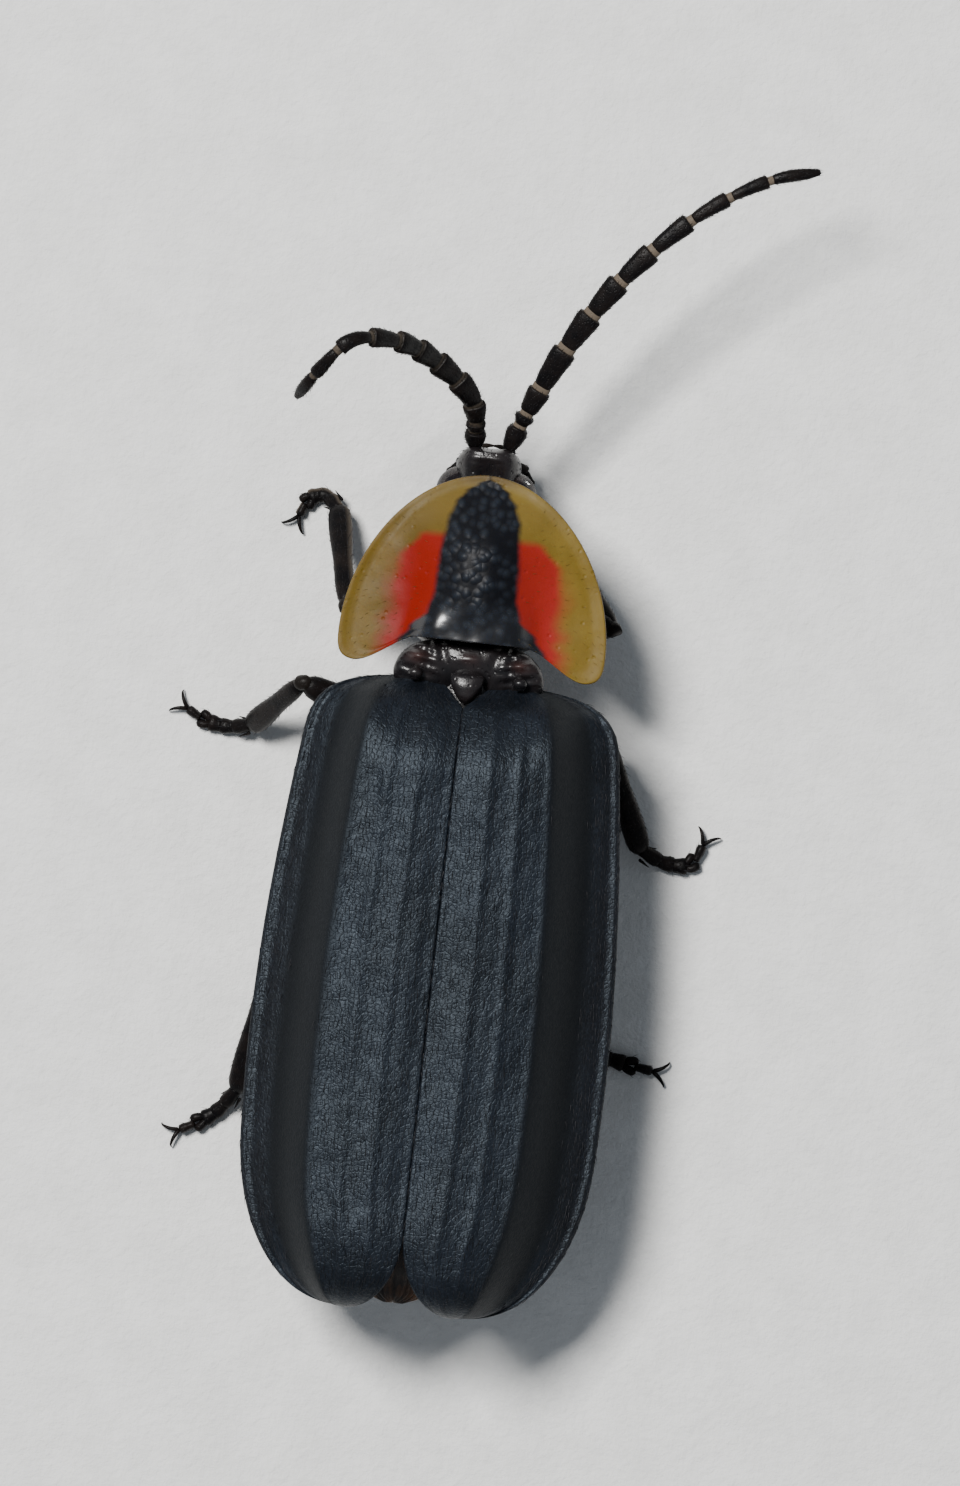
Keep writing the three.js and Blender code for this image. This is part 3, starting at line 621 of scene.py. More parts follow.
KNEE = [(0, 0.08, 0.08), (0.5, 0.1, 0.1), (1, 0.07, 0.07)]
TIBIA = [(0, 0.07, 0.08), (0.08, 0.1, 0.095), (0.45, 0.125, 0.1), (0.85, 0.15, 0.11), (1, 0.13, 0.1)]
FOOT_SHARES = [0.3, 0.2, 0.15, 0.15, 0.2]
FOOT_WIDTHS = [0.098, 0.1, 0.108, 0.13, 0.062]
LOBE = [(0, 0.04, 0.05), (0.5, 0.055, 0.065), (1, 0.055, 0.05)]


def unit(vector):
    return vector / np.linalg.norm(vector)


def running(steps):
    """The way gone at each point of a line, from the lengths of its steps."""
    return np.concatenate([[0], np.cumsum(steps)])


def picked(t, at, values):
    """Rows of a table at t, with straight lines between its rows."""
    return np.stack([np.interp(t, at, column) for column in values.T], 1)


def follow(points, t):
    """Places at shares t of the length of a smooth curve through some points."""
    p = np.array(points, float)
    p = np.vstack([2 * p[0] - p[1], p, 2 * p[-1] - p[-2]])
    fine = []
    for k in range(1, len(p) - 2):
        knot = running(np.linalg.norm(np.diff(p[k - 1:k + 3], axis=0), axis=1) ** 0.5)
        u = np.linspace(knot[1], knot[2], 24)[:, None]
        a = [((knot[i + 1] - u) * p[k - 1 + i] + (u - knot[i]) * p[k + i]) / (knot[i + 1] - knot[i])
             for i in range(3)]
        b = [((knot[i + 2] - u) * a[i] + (u - knot[i]) * a[i + 1]) / (knot[i + 2] - knot[i])
             for i in range(2)]
        fine.append(((knot[2] - u) * b[0] + (u - knot[1]) * b[1]) / (knot[2] - knot[1]))
    fine = np.vstack(fine)
    gone = running(np.linalg.norm(np.diff(fine, axis=0), axis=1))
    return picked(np.asarray(t) * gone[-1], gone, fine)


def limb(path, shape, rows=26, sides=24, power=2.2, blunt=0.1):
    """Rings of a joint of a limb; its shape gives share, half width and half depth."""
    t = (1 - np.cos(np.linspace(0, math.pi, rows))) / 2
    even = np.linspace(0, 1, 60)
    along = picked(t, even, np.gradient(follow(path, even), axis=0))
    along /= np.linalg.norm(along, axis=1, keepdims=True)
    across = np.cross(along, (0, 0, 1))
    across /= np.linalg.norm(across, axis=1, keepdims=True)
    above = np.cross(across, along)
    close = rounded(np.maximum(0, (blunt - t) / blunt)) * rounded(np.maximum(0, (t - 1 + blunt) / blunt))
    wide, deep = (through(shape, t) * np.maximum(close, 0.02)[:, None]).T
    c, s = squircle(sides, power)
    rings = follow(path, t)[:, None] + across[:, None] * (wide[:, None] * c)[..., None]
    return rings + above[:, None] * (deep[:, None] * s)[..., None]


def claw(root, way, aside):
    """A hooked claw: out from the foot, then down to a point on the floor."""
    path = [root, root + way * 0.1 + aside * 0.06 + (0, 0, 0.02), root + way * 0.17 + aside * 0.13,
            root + way * 0.18 + aside * 0.17 - (0, 0, root[2] - 0.02)]
    return limb(path, [(0, 0.03, 0.035), (0.4, 0.024, 0.03), (1, 0.005, 0.006)], 12, 10)


def leg(joints, edge=0.0):
    """One leg with its joints overlapping a little. Its tibia and foot may have a pale edge."""
    skin = Skin()
    root, hip, knee, ankle, *foot = [np.array(joint) for joint in joints]
    pale_edge = edge * smoothstep(squircle(28, 2)[0], 0.45, 0.95)[None, :]
    skin.add(limb([root + (0, 0, 0.2), mix(root, hip, 0.6), hip], COXA, 24, 28))
    skin.add(limb([mix(root, hip, 0.86), mix(hip, knee, 0.12)], TROCHANTER, 14, 20))
    bow = mix(hip, knee, 0.5) + (0, 0, 0.06)
    skin.add(limb([mix(hip, knee, 0.04), bow, knee], FEMUR, 34, 28, 2.3))
    skin.add(limb([mix(hip, knee, 0.93), knee, mix(knee, ankle, 0.08)], KNEE, 12, 18), coat=0, pale=0.03)
    bow = mix(knee, ankle, 0.5) + (0, 0, 0.03)
    skin.add(limb([mix(knee, ankle, 0.01), bow, ankle], TIBIA, 36, 28, 2.4), pale=pale_edge)
    way = unit((foot[0] - ankle) * (1, 1, 0))
    for aside in (np.cross(way, (0, 0, 1)), np.cross((0, 0, 1), way)):
        spur = [ankle + aside * 0.08, ankle + way * 0.16 + aside * 0.13 - (0, 0, 0.1)]
        skin.add(limb(spur, [(0, 0.025, 0.025), (1, 0.004, 0.004)], 10, 8), coat=0)
    sole = [mix(knee, ankle, 0.96), *foot]
    walked = 0
    for share, wide in zip(FOOT_SHARES, FOOT_WIDTHS):
        path = follow(sole, np.linspace(max(0, walked - 0.02), min(1, walked + share + 0.015), 4))
        walked += share
        if wide == max(FOOT_WIDTHS):
            aside = unit(np.cross(path[-1] - path[0], (0, 0, 1)))
            for side in (1, -1):
                lobe = [path[0], path[1] + aside * side * 0.05, path[-1] + aside * side * 0.075]
                skin.add(limb(lobe, LOBE, 14, 14, blunt=0.25))
        else:
            shape = [(0, wide * 0.8, 0.08), (0.3, wide * 0.86, 0.085), (0.8, wide, 0.092),
                     (1, wide * 0.9, 0.08)]
            skin.add(limb(path, shape, 16, 28), pale=pale_edge)
    heel, tip = follow(sole, [0.97, 1.0])
    way = unit(tip - heel)
    aside = unit(np.cross(way, (0, 0, 1)))
    for side in (1, -1):
        skin.add(claw(tip, way, side * aside), coat=0)
    return skin


horn = Finish("limb_cuticle", {"Specular IOR Level": 0.07})
horn_soft = horn.place.attribute("pale")
horn_cloud = horn.place.clouds(4, 4.0).between(0.3, 0.72)
horn_shade = horn_cloud.mix((0.003, 0.0028, 0.0032, 1), (0.009, 0.0068, 0.0062, 1))
horn.lay("Base Color", horn_soft.mix(horn_shade, (0.2, 0.16, 0.12, 1)))
horn.lay("Roughness", 0.26 + 0.22 * horn.place.clouds(10) + 0.1 * horn_soft)
horn_pits = horn.place.cells(26).between(0.0, 0.4)
horn.lay("Normal", horn_pits.relief(0.004, horn.place.clouds(45, 2.0).relief(0.003)))
for number, (name, joints) in enumerate(LEG_JOINTS.items()):
    leg_piece = leg(joints, 0.3 if name == "front_left" else 0.0).build(f"{name}_leg", horn)
    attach(leg_piece, "root")
    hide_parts(f"leg_{name}")
    add_coat(leg_piece, f"{name}_leg_coat", "limb_cuticle", down,
             Spacing=0.056, Length=0.085, Width=0.0045, Lift=0.4, Spread=0.3, Seed=20 + number)

# Head: a short polished capsule under the front of the shield. Two low knobs on the
# forehead carry the feelers, with a shallow dent between the eyes.
HEAD_LEAN = 0.08
HEAD_RINGS = [
    (-1.96, 0.24, 1.2, 1.5), (-2.1, 0.34, 1.02, 1.62), (-2.35, 0.37, 0.95, 1.7), (-2.6, 0.39, 0.95, 1.74),
    (-2.74, 0.41, 0.97, 1.77), (-2.84, 0.37, 1.02, 1.78), (-2.91, 0.27, 1.14, 1.7), (-2.94, 0.1, 1.3, 1.52),
]
FEELER_KNOBS = (0.27, -0.14)
head_rings = hull(HEAD_RINGS[::-1], 84, 96, 2.2, HEAD_LEAN)
x, y, z = np.moveaxis(head_rings, 2, 0)
front = smoothstep(-y, 2.6, 2.8)
knobs = sum(bump(x, knob, 0.11) * bump(z, 1.58, 0.13) for knob in FEELER_KNOBS) * front
head_rings[..., 1] -= 0.035 * knobs
dent = 0.07 * bump(x, HEAD_LEAN, 0.12) * smoothstep(z, 1.5, 1.7) * bump(y, -2.55, 0.22)
head_rings[..., 2] += 0.05 * knobs - dent
head_rings[..., 1] += 0.05 * bump(z, 1.24, 0.03) * front
head = Skin().add(head_rings, coat=smoothstep(-y, 2.3, 2.5)).build("head_capsule", polish)
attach(head, "root")
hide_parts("head")
add_coat(head, "head_coat", "glossy_cuticle", down,
         Spacing=0.07, Length=0.08, Width=0.005, Lift=0.5, Seed=6)

# Eyes: two round black compound eyes against the sides of the head, each with a few
# thousand six-sided lenses. One tree turns a fine ball into domed facets.
EYE_RADIUS = 0.302
EYE_PLACE = (0.33, -2.38, 1.3)
DOME_HEIGHT = 0.007
DOME_TOP_SHARE = 0.62
facets = Branch("eye_facets", Dome=DOME_HEIGHT)
lenses = facets.node("GeometryNodeDualMesh", {}, {0: facets.given["Geometry"]})
raised = facets.node("GeometryNodeExtrudeMesh", {"mode": "FACES"},
                     {"Mesh": lenses, "Offset Scale": facets.given["Dome"] * MM})
domed = facets.node("GeometryNodeScaleElements", {"domain": "FACE"}, {
    "Geometry": raised, "Selection": raised.beside("Top"), "Scale": DOME_TOP_SHARE})
facet_tree = facets.close(facets.real(domed))
lens_black = Finish("eye_lenses", {
    "Roughness": 0.12, "IOR": 1.6, "Coat Weight": 0.4, "Coat Roughness": 0.04})
lens_shine = lens_black.place.clouds(4, 2.0).between(0.3, 0.7)
lens_black.lay("Base Color", lens_shine.mix((0.004, 0.004, 0.006, 1), (0.016, 0.01, 0.009, 1)))


def ball(name, centre, radius):
    """A ball of even triangles, with no poles."""
    mesh = bpy.data.meshes.new(name)
    shape = bmesh.new()
    bmesh.ops.create_icosphere(shape, subdivisions=5, radius=radius * MM)
    shape.to_mesh(mesh)
    shape.free()
    mesh.transform(Matrix.Translation(Vector(metres(centre))))
    mesh.shade_smooth()
    piece = bpy.data.objects.new(name, mesh)
    bpy.context.scene.collection.objects.link(piece)
    return piece


for name, side in (("left", 1), ("right", -1)):
    centre = (HEAD_LEAN + side * EYE_PLACE[0], EYE_PLACE[1], EYE_PLACE[2])
    eyeball = ball("eye_host", centre, EYE_RADIUS)
    eye = grown(eyeball, f"{name}_eye", facet_tree, {"Dome": DOME_HEIGHT}, lens_black)
    bpy.data.objects.remove(eyeball)
    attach(eye, "root")
    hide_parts(f"eye_{name}")

# Mouthparts: two thin curved jaws that cross, a lip over them, and two pairs of
# jointed palps that end in a broad joint. The outer pair is the longer one.
PALPS = [
    [(0.22, -2.7, 0.84), (0.38, -2.8, 0.62), (0.52, -2.74, 0.5), (0.6, -2.58, 0.45)],
    [(-0.06, -2.7, 0.84), (-0.22, -2.8, 0.62), (-0.35, -2.72, 0.5), (-0.4, -2.54, 0.45)],
    [(0.16, -2.66, 0.8), (0.22, -2.84, 0.48), (0.2, -2.95, 0.38)],
    [(-0.06, -2.66, 0.8), (-0.12, -2.84, 0.48), (-0.1, -2.95, 0.38)],
]
CHIN_RINGS = [
    (-2.9, 0.1, 0.74, 0.86), (-2.84, 0.2, 0.64, 0.92), (-2.68, 0.27, 0.56, 1.02),
    (-2.5, 0.25, 0.56, 1.02), (-2.36, 0.14, 0.66, 0.98),
]
LIP_RINGS = [
    (-2.93, 0.08, 0.9, 0.96), (-2.89, 0.16, 0.86, 1.02), (-2.76, 0.19, 0.86, 1.12), (-2.64, 0.14, 0.9, 1.1),
]
JAW = [(0, 0.075, 0.08), (0.5, 0.05, 0.055), (1, 0.008, 0.01)]
mouth_skin = Skin().add(hull(CHIN_RINGS, 30, 40, 2.2, HEAD_LEAN))
mouth_skin.add(hull(LIP_RINGS, 20, 30, 2.4, HEAD_LEAN))
for side in (1, -1):
    route = [(side * 0.2, -2.72, 0.84), (side * 0.2, -2.88, 0.8), (side * 0.12, -2.98, 0.77),
             (-side * 0.03, -3.0, 0.75 + side * 0.015)]
    mouth_skin.add(limb(np.array(route) + (HEAD_LEAN, 0, 0), JAW, 24, 16), coat=0, pale=0.05)
for palp in PALPS:
    for number, (a, b) in enumerate(zip(np.array(palp), np.array(palp[1:])), 2):
        widest = 0.085 if number == len(palp) else 0.068
        shape = [(0, 0.035, 0.035), (0.5, 0.06, 0.05), (0.85, widest, 0.05), (1, 0.07, 0.045)]
        mouth_skin.add(limb([mix(a, b, -0.04), mix(a, b, 1.02)], shape, 18, 18, blunt=0.12))
mouth = mouth_skin.build("mouth_and_palps", horn)
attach(mouth, "root")
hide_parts("mouthparts")
add_coat(mouth, "mouth_coat", "glossy_cuticle", down,
         Spacing=0.05, Length=0.06, Width=0.004, Lift=0.5, Seed=7)

# Feelers: eleven flat joints each, broad at the far end like saw teeth, dull black
# with close hair. A narrow ring of pale skin shows between each two joints.
FEELER_LENGTHS = [0.37, 0.18, 0.38, 0.62, 0.56, 0.56, 0.56, 0.6, 0.56, 0.55, 0.66]
FEELER_HALVES = [0.13, 0.12, 0.148, 0.158, 0.16, 0.152, 0.14, 0.125, 0.1, 0.088, 0.078]
KNOB_JOINT = [(0, 0.6, 0.07), (0.4, 0.9, 0.1), (0.85, 1, 0.1), (1, 0.8, 0.1)]
SAW_JOINT = [(0, 0.66, 0.06), (0.12, 0.76, 0.075), (0.5, 0.9, 0.085), (0.9, 1, 0.085), (1, 0.97, 0.0765)]
LAST_JOINT = [(0, 0.8, 0.06), (0.2, 0.95, 0.085), (0.5, 1, 0.085), (0.8, 0.8, 0.06), (1, 0.45, 0.04)]
FEELER_ROUTES = {
    "left": [(0.27, -2.94, 1.52), (0.33, -3.5, 2.2), (0.8, -3.93, 3.0), (1.3, -4.11, 3.9),
             (1.8, -4.03, 4.46), (2.15, -3.65, 4.3), (2.44, -3.27, 3.78)],
    "right": [(-0.14, -2.94, 1.52), (-0.36, -3.48, 1.72), (-0.815, -4.38, 2.05), (-1.44, -5.29, 2.32),
              (-2.275, -6.13, 2.42), (-3.1, -6.65, 2.36), (-3.73, -6.83, 2.3)],
}


def feeler(route, ring_tone):
    """The joints of one feeler along its route, with rings so pale between them."""
    skin = Skin()
    total = sum(FEELER_LENGTHS)
    walked = 0
    for k, (length, half) in enumerate(zip(FEELER_LENGTHS, FEELER_HALVES)):
        start, end = walked / total, (walked + length) / total
        walked += length
        if k:
            neck = follow(route, [start - 0.01, start + 0.012])
            ring = 0.76 * half if k > 2 else 0.09
            skin.add(limb(neck, [(0, ring, 0.06), (1, ring, 0.06)], 8, 20), coat=0, pale=ring_tone)
        path = follow(route, np.linspace(start + 0.004, end - 0.0035, 5))
        last = k == len(FEELER_LENGTHS) - 1
        shape = KNOB_JOINT if k < 2 else LAST_JOINT if last else SAW_JOINT
        rings = limb(path, [(share, half * wide, deep) for share, wide, deep in shape], 30, 28, 2.6, 0.045)
        edge = np.zeros((30, 1))
        if k and not last:
            edge[-4:, 0] = np.linspace(0.1, 0.7, 4) * ring_tone
        skin.add(rings, coat=1 - 0.8 * edge, pale=edge)
    return skin


for number, (name, route) in enumerate(FEELER_ROUTES.items()):
    feeler_piece = feeler(route, 0.5 if name == "right" else 0.28).build(f"{name}_feeler", horn)
    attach(feeler_piece, "root")
    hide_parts(f"antenna_{name}")
    add_coat(feeler_piece, f"{name}_feeler_coat", "limb_cuticle", down,
             Spacing=0.036, Length=0.06, Width=0.0045, Lift=0.5, Spread=0.3, Seed=30 + number)

# Shield: the pronotum, one thin plate of clear ochre horn over the head. Its raised
# middle is black, grained in front and polished behind, between two spots of red.
SHIELD_FRONT = -2.59
SHIELD_WIDEST = -0.45
SHIELD_HALF = 1.69
SHIELD_BASE = -0.48
SHIELD_MIDDLE = -1.3
RIM_HEIGHT = 2.3
DISC_RISE = 0.55
BOSS_PLACE = (0.54, -0.6)
BOSS_HEIGHT = 0.13
SHIELD_THICKNESS = 0.09
SHIELD_REACH = 2.7
BAND_HALVES = [
    (0.0, 0.0), (0.055, 0.0), (0.085, 0.15), (0.12, 0.27), (0.18, 0.38), (0.27, 0.46), (0.5, 0.51),
    (0.6, 0.52), (0.7, 0.58), (0.78, 0.8), (0.85, 0.93), (1.0, 0.98),
]
RED_WIDTHS = [
    (0.0, 0.0), (0.27, 0.0), (0.345, 0.32), (0.45, 0.53), (0.6, 0.56), (0.7, 0.44), (0.82, 0.2),
    (1.0, 0.12),
]


def shield_outline(count):
    """The outline of the shield, as places spread evenly round it."""
    turn = np.linspace(0, 2 * math.pi, 6001)
    c, s = np.cos(turn), np.sin(turn)
    x = SHIELD_HALF * np.sign(c) * np.abs(c) ** np.where(s < 0, 2 / 1.9, 0.46)
    front = (SHIELD_FRONT - SHIELD_WIDEST) * np.abs(s) ** (2 / 1.9)
    corner = 0.38 * smoothstep(np.abs(x), 0.65, 1.5)
    back = (SHIELD_BASE - SHIELD_WIDEST + corner) * (1 - (1 - np.maximum(0, s)) ** 3)
    y = SHIELD_WIDEST + np.where(s < 0, front, back)
    gone = running(np.hypot(np.diff(x), np.diff(y)))
    return picked(np.linspace(0, gone[-1], count, endpoint=False), gone, np.stack([x, y], 1)).T


def shield_top(x, y, share):
    """Height of the upper face; share is 0 in the middle and 1 at the rim."""
    back = (y - SHIELD_FRONT) / (SHIELD_BASE - SHIELD_FRONT)
    disc = bump(x, 0, 0.72) * smoothstep(back, 0, 0.5) * (1 - 0.18 * smoothstep(back, 0.6, 0.98))
    bosses = BOSS_HEIGHT * bump(np.abs(x), BOSS_PLACE[0], 0.25) * bump(y, BOSS_PLACE[1], 0.3)
    groove = 0.02 * bump(x, 0, 0.12) * smoothstep(back, 0.2, 0.5)
    dent = 0.05 * bump(np.abs(x), 0.78, 0.2) * bump(y, -0.75, 0.3)
    outer = 1 - bump(x, 0, 0.9) * smoothstep(back, 0.7, 0.9)
    rim = (0.008 * smoothstep(share, 0.93, 0.98) - 0.008 * bump(share, 0.89, 0.04)) * outer
    return RIM_HEIGHT + 0.06 * (back - 0.5) + DISC_RISE * disc + bosses - groove - dent + rim


def shield_rings():
    """Rings from the middle out over the top, round the rim and back underneath."""
    edge_x, edge_y = shield_outline(300)
    top_shares = [*np.linspace(0.012, 0.9, 62), *np.linspace(0.91, 0.99, 12)]
    rows = [(share, share, 0) for share in top_shares]
    for turn in np.linspace(0.15, math.pi - 0.15, 8):
        rows.append((0.99 + 0.01 * math.sin(turn), 0.99, SHIELD_THICKNESS / 2 * (1 - math.cos(turn))))
    for share in np.linspace(0.98, 0.012, 34):
        rows.append((share, min(share, 0.9), mix(0.16, SHIELD_THICKNESS, smoothstep(share, 0.4, 0.9))))
    rings = []
    for share, height_share, sunk in rows:
        x, y = edge_x * share, mix(SHIELD_MIDDLE, edge_y, share)
        rings.append(np.stack([x, y, shield_top(x, y, height_share) - sunk], 1))
    rings = np.array(rings)
    rings[..., 2] += 0.012 * rough(rings * (1, 1, 0), 2.6, 1) + 0.002 * rough(rings * (1, 1, 0), 9, 2)
    upper = np.arange(len(rows)) < len(top_shares) + 3
    return rings, upper[:, None]


ochre = Finish("ochre_shield", {"IOR": 1.45, "Subsurface Weight": 0.15, "Subsurface Scale": 0.2 * MM,
                                "Subsurface Radius": (1.0, 0.5, 0.2), "Specular IOR Level": 0.13,
                                "Coat Roughness": 0.2})

# The black band, the red spots and their orange edge are as wide as the tables say
# along the shield. The ochre, orange and red are painted lighter on the right and darker on the left, as
# painted light and shade.
drift = ochre.place.clouds(2.6, 3.0, 0.6) - 0.5
fray = ochre.place.clouds(11, 3.0, 0.6) - 0.5
across = abs(ochre.place.axis("X") + 0.06 * drift)
along = (ochre.place.axis("Y") + SHIELD_REACH) * (1 / SHIELD_REACH)
from_band = across - along.steps(BAND_HALVES) + 0.035 * fray
black_band = 1 - from_band.between(-0.045, 0.05)
from_red = from_band - along.steps(RED_WIDTHS)
red = (1 - (from_red + 0.1 * drift).between(-0.11, 0.06)) * along.between(0.31, 0.36)
glow = (1 - (from_red + 0.2 * drift).between(-0.02, 0.22)) * along.between(0.36, 0.75)
blotch = ochre.place.clouds(1.7, 4.0, 0.6).between(0.3, 0.72)
# Painted light and shade: this mask paints the right of the shield lighter and the left darker.
painted_light_right = 1 - ochre.place.axis("X").between(-0.9, 1.1)

# The colours are laid from the ochre up: front, rim, orange, red, browned edge, black. On the black the
# grains are painted a lighter blue, as painted highlights.
ochre_in_painted_shade = blotch.mix((0.068, 0.04, 0.0038, 1), (0.097, 0.058, 0.0064, 1))
ochre_in_painted_light = blotch.mix((0.118, 0.076, 0.0105, 1), (0.163, 0.11, 0.018, 1))
shade = painted_light_right.mix(ochre_in_painted_shade, ochre_in_painted_light)
shade = (0.5 * (1 - along.between(0.15, 0.45))).mix(shade, (0.135, 0.095, 0.026, 1))
shade = (0.6 * across.between(1.0, 1.7)).mix(shade, (0.12, 0.078, 0.01, 1))
shade = (0.85 * glow).mix(shade, painted_light_right.mix((0.13, 0.017, 0.004, 1), (0.2, 0.042, 0.014, 1)))
shade = red.mix(shade, painted_light_right.mix((0.17, 0.005, 0.0025, 1), (0.235, 0.014, 0.01, 1)))
front_rim = (1 - along.between(0.04, 0.12)) * (1 - across.between(0.2, 0.6))
shade = (0.7 * front_rim).mix(shade, (0.05, 0.03, 0.012, 1))
# Painted highlights: the grains are real bumps, and their lighter blue colour stands for glints.
grains_with_painted_glints = black_band * (1 - ochre.place.stretch(1, 1, 0.2).cells(9).between(0.0, 0.75))
black = grains_with_painted_glints.mix((0.0035, 0.0038, 0.0055, 1), (0.012, 0.015, 0.021, 1))
ochre.lay("Base Color", black_band.mix(shade, black))

# Only the back of the band is polished, and its grains are lower there.
polished = black_band * along.between(0.6, 0.7)
ochre.lay("Coat Weight", polished)
ochre.lay("Roughness", 0.38 + 0.16 * ochre.place.clouds(7, 4.0) - 0.26 * polished)
punctures = (1 - 0.7 * black_band) * ochre.place.stretch(1, 1, 0.2).cells(6).between(0.0, 0.2)
satin = ochre.place.clouds(26).relief(0.0015, punctures.relief(0.006))
ochre.lay("Normal", (grains_with_painted_glints * (1 - 0.7 * polished)).relief(0.015, satin))
shield_shape, shield_upper = shield_rings()
beside_band = smoothstep(np.abs(shield_shape[..., 0]), 0.55, 0.75)
shield = Skin().add(shield_shape, coat=shield_upper * beside_band).build("shield", ochre)
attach(shield, "root")
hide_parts("pronotum")
shield_down = Finish("shield_down", {"Roughness": 0.5, "Specular IOR Level": 0.2})
shield_cloud = shield_down.place.clouds(5, 2.0)
shield_down.lay("Base Color", shield_cloud.mix((0.06, 0.036, 0.006, 1), (0.13, 0.085, 0.015, 1)))
add_coat(shield, "shield_coat", "pronotum_shield", shield_down,
         Spacing=0.085, Length=0.06, Width=0.0035, Lift=0.4, Spread=0.3, Seed=8)

# Scutellum: the polished black middle of the back. It dips under the shield in front
# and under the wing covers behind, and carries a small pointed plate and two hinges.
SADDLE_RINGS = [
    (-0.52, 0.3, 2.1, 2.26), (-0.44, 0.62, 2.0, 2.4), (-0.3, 0.84, 1.98, 2.46), (-0.15, 0.93, 1.98, 2.45),
    (0.0, 0.95, 2.0, 2.38), (0.12, 0.9, 2.02, 2.29), (0.3, 0.7, 2.05, 2.24), (0.4, 0.4, 2.1, 2.2),
]
PLATE_RINGS = [
    (-0.13, 0.12, 2.36, 2.46), (-0.08, 0.2, 2.34, 2.53), (0.02, 0.21, 2.34, 2.58), (0.14, 0.16, 2.34, 2.58),
    (0.25, 0.08, 2.36, 2.54), (0.3, 0.02, 2.4, 2.48),
]
HINGE_RINGS = [
    (-0.12, 0.03, 2.38, 2.44), (-0.07, 0.08, 2.34, 2.5), (0.0, 0.09, 2.34, 2.5), (0.06, 0.04, 2.36, 2.42),
]
HINGE_ACROSS = 0.66
LOBE_PLACE = (0.66, -0.24)
LOBE_HEIGHT = 0.08
KNOB_HEIGHT = 0.05
saddle_rings = hull(SADDLE_RINGS, 80, 110, 2.6)
x, y, z = np.moveaxis(saddle_rings, 2, 0)
above = smoothstep(z, 2.25, 2.35)
lobes = bump(np.abs(x), LOBE_PLACE[0], 0.11) * bump(y, LOBE_PLACE[1], 0.07)
knob = bump(x, 0, 0.09) * bump(y, -0.27, 0.06)
furrows = 0.05 * bump(np.abs(x), 0.3 - 0.4 * (y + 0.2), 0.05) + 0.04 * bump(np.abs(x), 0.52, 0.03)
folds = 0.012 * np.sin(48 * (y + 0.25 * np.abs(x))) * smoothstep(np.abs(x), 0.3, 0.5)
saddle_rings[..., 2] += (LOBE_HEIGHT * lobes + KNOB_HEIGHT * knob - furrows + folds) * above
saddle_skin = Skin().add(saddle_rings, coat=0.4 * above, pale=(0.42 * lobes + 0.25 * knob) * above)
saddle_skin.add(hull(PLATE_RINGS, 40, 48, 2.3))
for side in (1, -1):
    saddle_skin.add(hull(HINGE_RINGS, 24, 30, 2.0, side * HINGE_ACROSS))
saddle = saddle_skin.build("saddle_plate", polish)
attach(saddle, "root")
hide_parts("scutellum")
add_coat(saddle, "saddle_coat", "glossy_cuticle", down,
         Spacing=0.08, Length=0.08, Width=0.004, Lift=0.5, Seed=9)

# Wing covers: two long sheets of soft black leather that meet along the back. Each
# has a flat top with faint raised lines, a fold, a steep side and a thin flat edge.
COVER_LENGTH = 7.98
COVER_HALF = 2.27
COVER_SHOULDER = 1.9
COVER_TIP = 0.69
COVER_TIP_START = 5.8
COVER_TOP = 3.1
COVER_EDGE = 2.05
COVER_FOLD = 0.58
COVER_FLANGE = 0.84
COVER_SLOPE_START = 6.9
COVER_ROUND_START = 7.45
COVER_LINES = [0.22, 0.4, 0.6]
COVER_LINE_HEIGHT = 0.018
SUTURE_GAP = 0.004
COVER_THICKNESS = 0.09
COVER_EDGE_THICKNESS = 0.035


def cover_edges(y):
    """Distances of the inner and the outer edge of a wing cover from the middle line."""
    long = mix(COVER_SHOULDER, COVER_HALF, np.sin((math.pi / 2) * (y / 4.7)))
    shoulder = rounded(1 - np.minimum(1, y), 3.7)
    tip = rounded(np.maximum(0, (y - COVER_TIP_START) / (COVER_LENGTH - COVER_TIP_START)), 2.4)
    parting = 1 - rounded(np.maximum(0, y - (COVER_LENGTH - 1)), 2)
    inner = mix(SUTURE_GAP / 2 + np.maximum(0, 0.35 - y), COVER_TIP, parting)
    return inner, mix(COVER_TIP, long * shoulder, tip)


def cover_top(y, q):
    """Height of the upper face, q being 0 at the suture and 1 at the outer edge."""
    end = rounded(np.maximum(0, (y - COVER_ROUND_START) / (COVER_LENGTH - COVER_ROUND_START)))
    rise = smoothstep(y, -0.9, 1.2) * (1 - 0.12 * smoothstep(y, COVER_SLOPE_START, 8)) * mix(0.45, 1, end)
    disc = 1 - 0.09 * (q / COVER_FOLD) ** 2.4
    margin = 0.16 * (1 - q) / (1 - COVER_FLANGE)
    cover = mix(disc, margin, smoothstep(q, COVER_FOLD, COVER_FLANGE))
    lines = COVER_LINE_HEIGHT * sum(bump(q, line, 0.03) for line in COVER_LINES)
    seam = 0.008 * bump(q, 0.02, 0.02) - 0.05 * bump(q, 0.0, 0.1)
    hem = 0.02 * bump(q, 0.98, 0.02) - 0.02 * bump(q, 0.93, 0.03)
    shoulder = 0.09 * bump(q, 0.56, 0.12) * bump(y, 0.55, 0.35) - 0.22 * (1 - smoothstep(y, 0, 0.35))
    return mix(COVER_EDGE, COVER_TOP, rise * cover) + (lines + seam) * rise + hem + shoulder


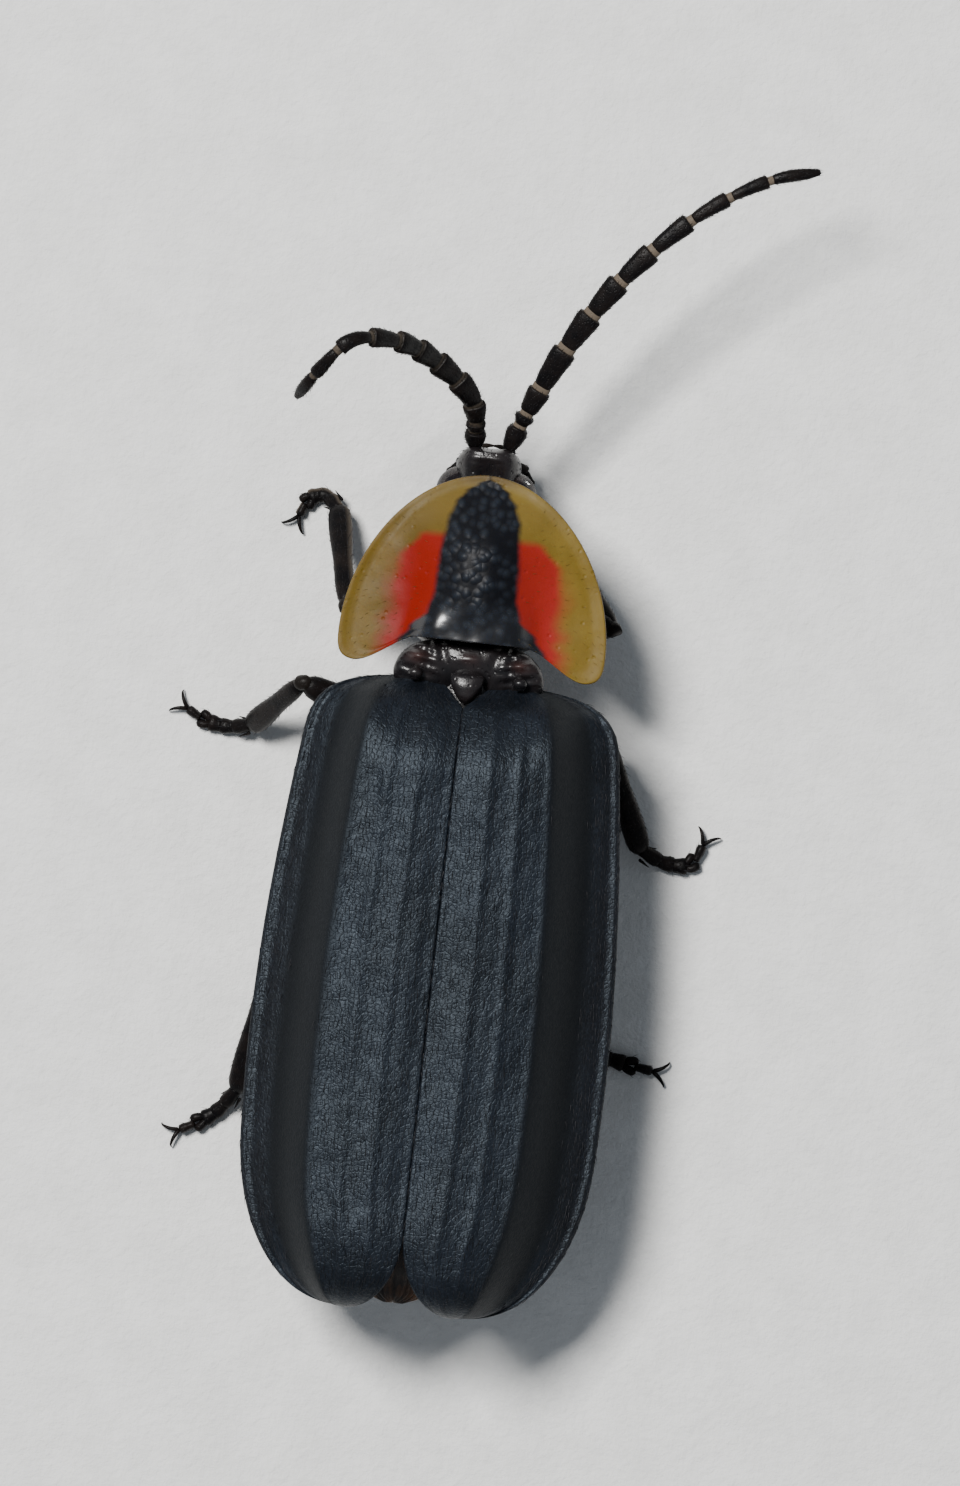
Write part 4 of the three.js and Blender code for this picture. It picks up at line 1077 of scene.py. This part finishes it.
def cover_rings(side, seed):
    """Rings across one wing cover, with its share of hair and its bare fold, which also marks where the
    leather has painted shade.
    """
    t = np.linspace(0, 1, 230)
    y = mix(0.02, COVER_LENGTH, mix(t, (1 - np.cos(math.pi * t)) / 2, 0.75))[:, None]
    upper = [*np.linspace(0, 0.06, 7), *np.linspace(0.08, 0.92, 56), *np.linspace(0.935, 1, 10)]
    q = np.array([*upper, *np.linspace(0.99, 0.01, 30)])
    above = np.arange(len(q)) < len(upper)
    sheet = mix(COVER_EDGE_THICKNESS, COVER_THICKNESS, smoothstep(np.minimum(q, 1 - q), 0, 0.08))
    inner_edge, outer_edge = cover_edges(y)
    x = side * mix(inner_edge, outer_edge, q)
    rings = np.stack(np.broadcast_arrays(x, y, cover_top(y, q) - sheet * ~above), 2)
    top = rings[:, above]
    wrinkles = 0.014 * rough(top * (1, 0.5, 0), 2.4, seed) + 0.007 * rough(top * (1, 0.7, 0), 8, seed + 1)
    rings[:, above, 2] += wrinkles + 0.004 * rough(top * (1, 1, 0), 17, seed + 2)
    fold = above * smoothstep(q, 0.55, 0.62) * (1 - smoothstep(q, 0.8, 0.88))
    bare_tip = smoothstep(y, 7.72, 7.86)
    return rings, (above - fold) * (1 - bare_tip), fold[None, :]


leather = Finish("wing_leather", {"Specular IOR Level": 0.23, "Specular Tint": (0.72, 0.86, 1.0, 1)})
cloud = leather.place.stretch(1, 0.5, 1).clouds(1.5, 4.0, 0.6).between(0.32, 0.68)
leather_shade = cloud.mix((0.003, 0.0038, 0.0055, 1), (0.0065, 0.0085, 0.0125, 1))
# Painted reflection: towards the outer edge the blue gives way to a dull brown, the steep sides reflecting
# brown surroundings.
painted_reflection_side = abs(leather.place.axis("X")).between(1.55, 1.95)
leather_shade = (0.5 * painted_reflection_side).mix(leather_shade, (0.007, 0.0065, 0.0068, 1))
# Painted shade: the fold between the flat top and the steep side is painted nearly black.
fold_with_painted_shade = leather.place.attribute("pale")
leather_shade = (0.9 * fold_with_painted_shade).mix(leather_shade, (0.0018, 0.0017, 0.0019, 1))
# Painted highlights: fine light blue flecks stand for glints of the hairs and grains, fewer on the fold.
painted_glint_fleck = leather.place.clouds(22, 2.0, 0.5).between(0.52, 0.75)
painted_glint_fleck = 0.4 * painted_glint_fleck * (1 - 0.8 * fold_with_painted_shade)
leather.lay("Base Color", painted_glint_fleck.mix(leather_shade, (0.016, 0.02, 0.028, 1)))
leather.lay("Roughness", 0.34 + 0.2 * leather.place.clouds(16) + 0.26 * fold_with_painted_shade)
crackle = leather.place.stretch(1, 0.8, 1).cells(17, "DISTANCE_TO_EDGE").between(0.0, 0.16)
leather_grain = leather.place.clouds(32, 3.0, 0.6).relief(0.006)
leather.lay("Normal", crackle.relief(0.0022, leather_grain))
for name, side, seed in (("left", 1, 40), ("right", -1, 50)):
    cover_skin = Skin().add(*cover_rings(side, seed))
    cover = cover_skin.build(f"{name}_wing_cover", leather)
    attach(cover, "root")
    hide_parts(f"elytron_{name}")
    add_coat(cover, f"{name}_wing_cover_coat", "wing_cover", down,
             Spacing=0.042, Length=0.11, Width=0.006, Lift=0.2, Spread=0.16, Seed=seed)
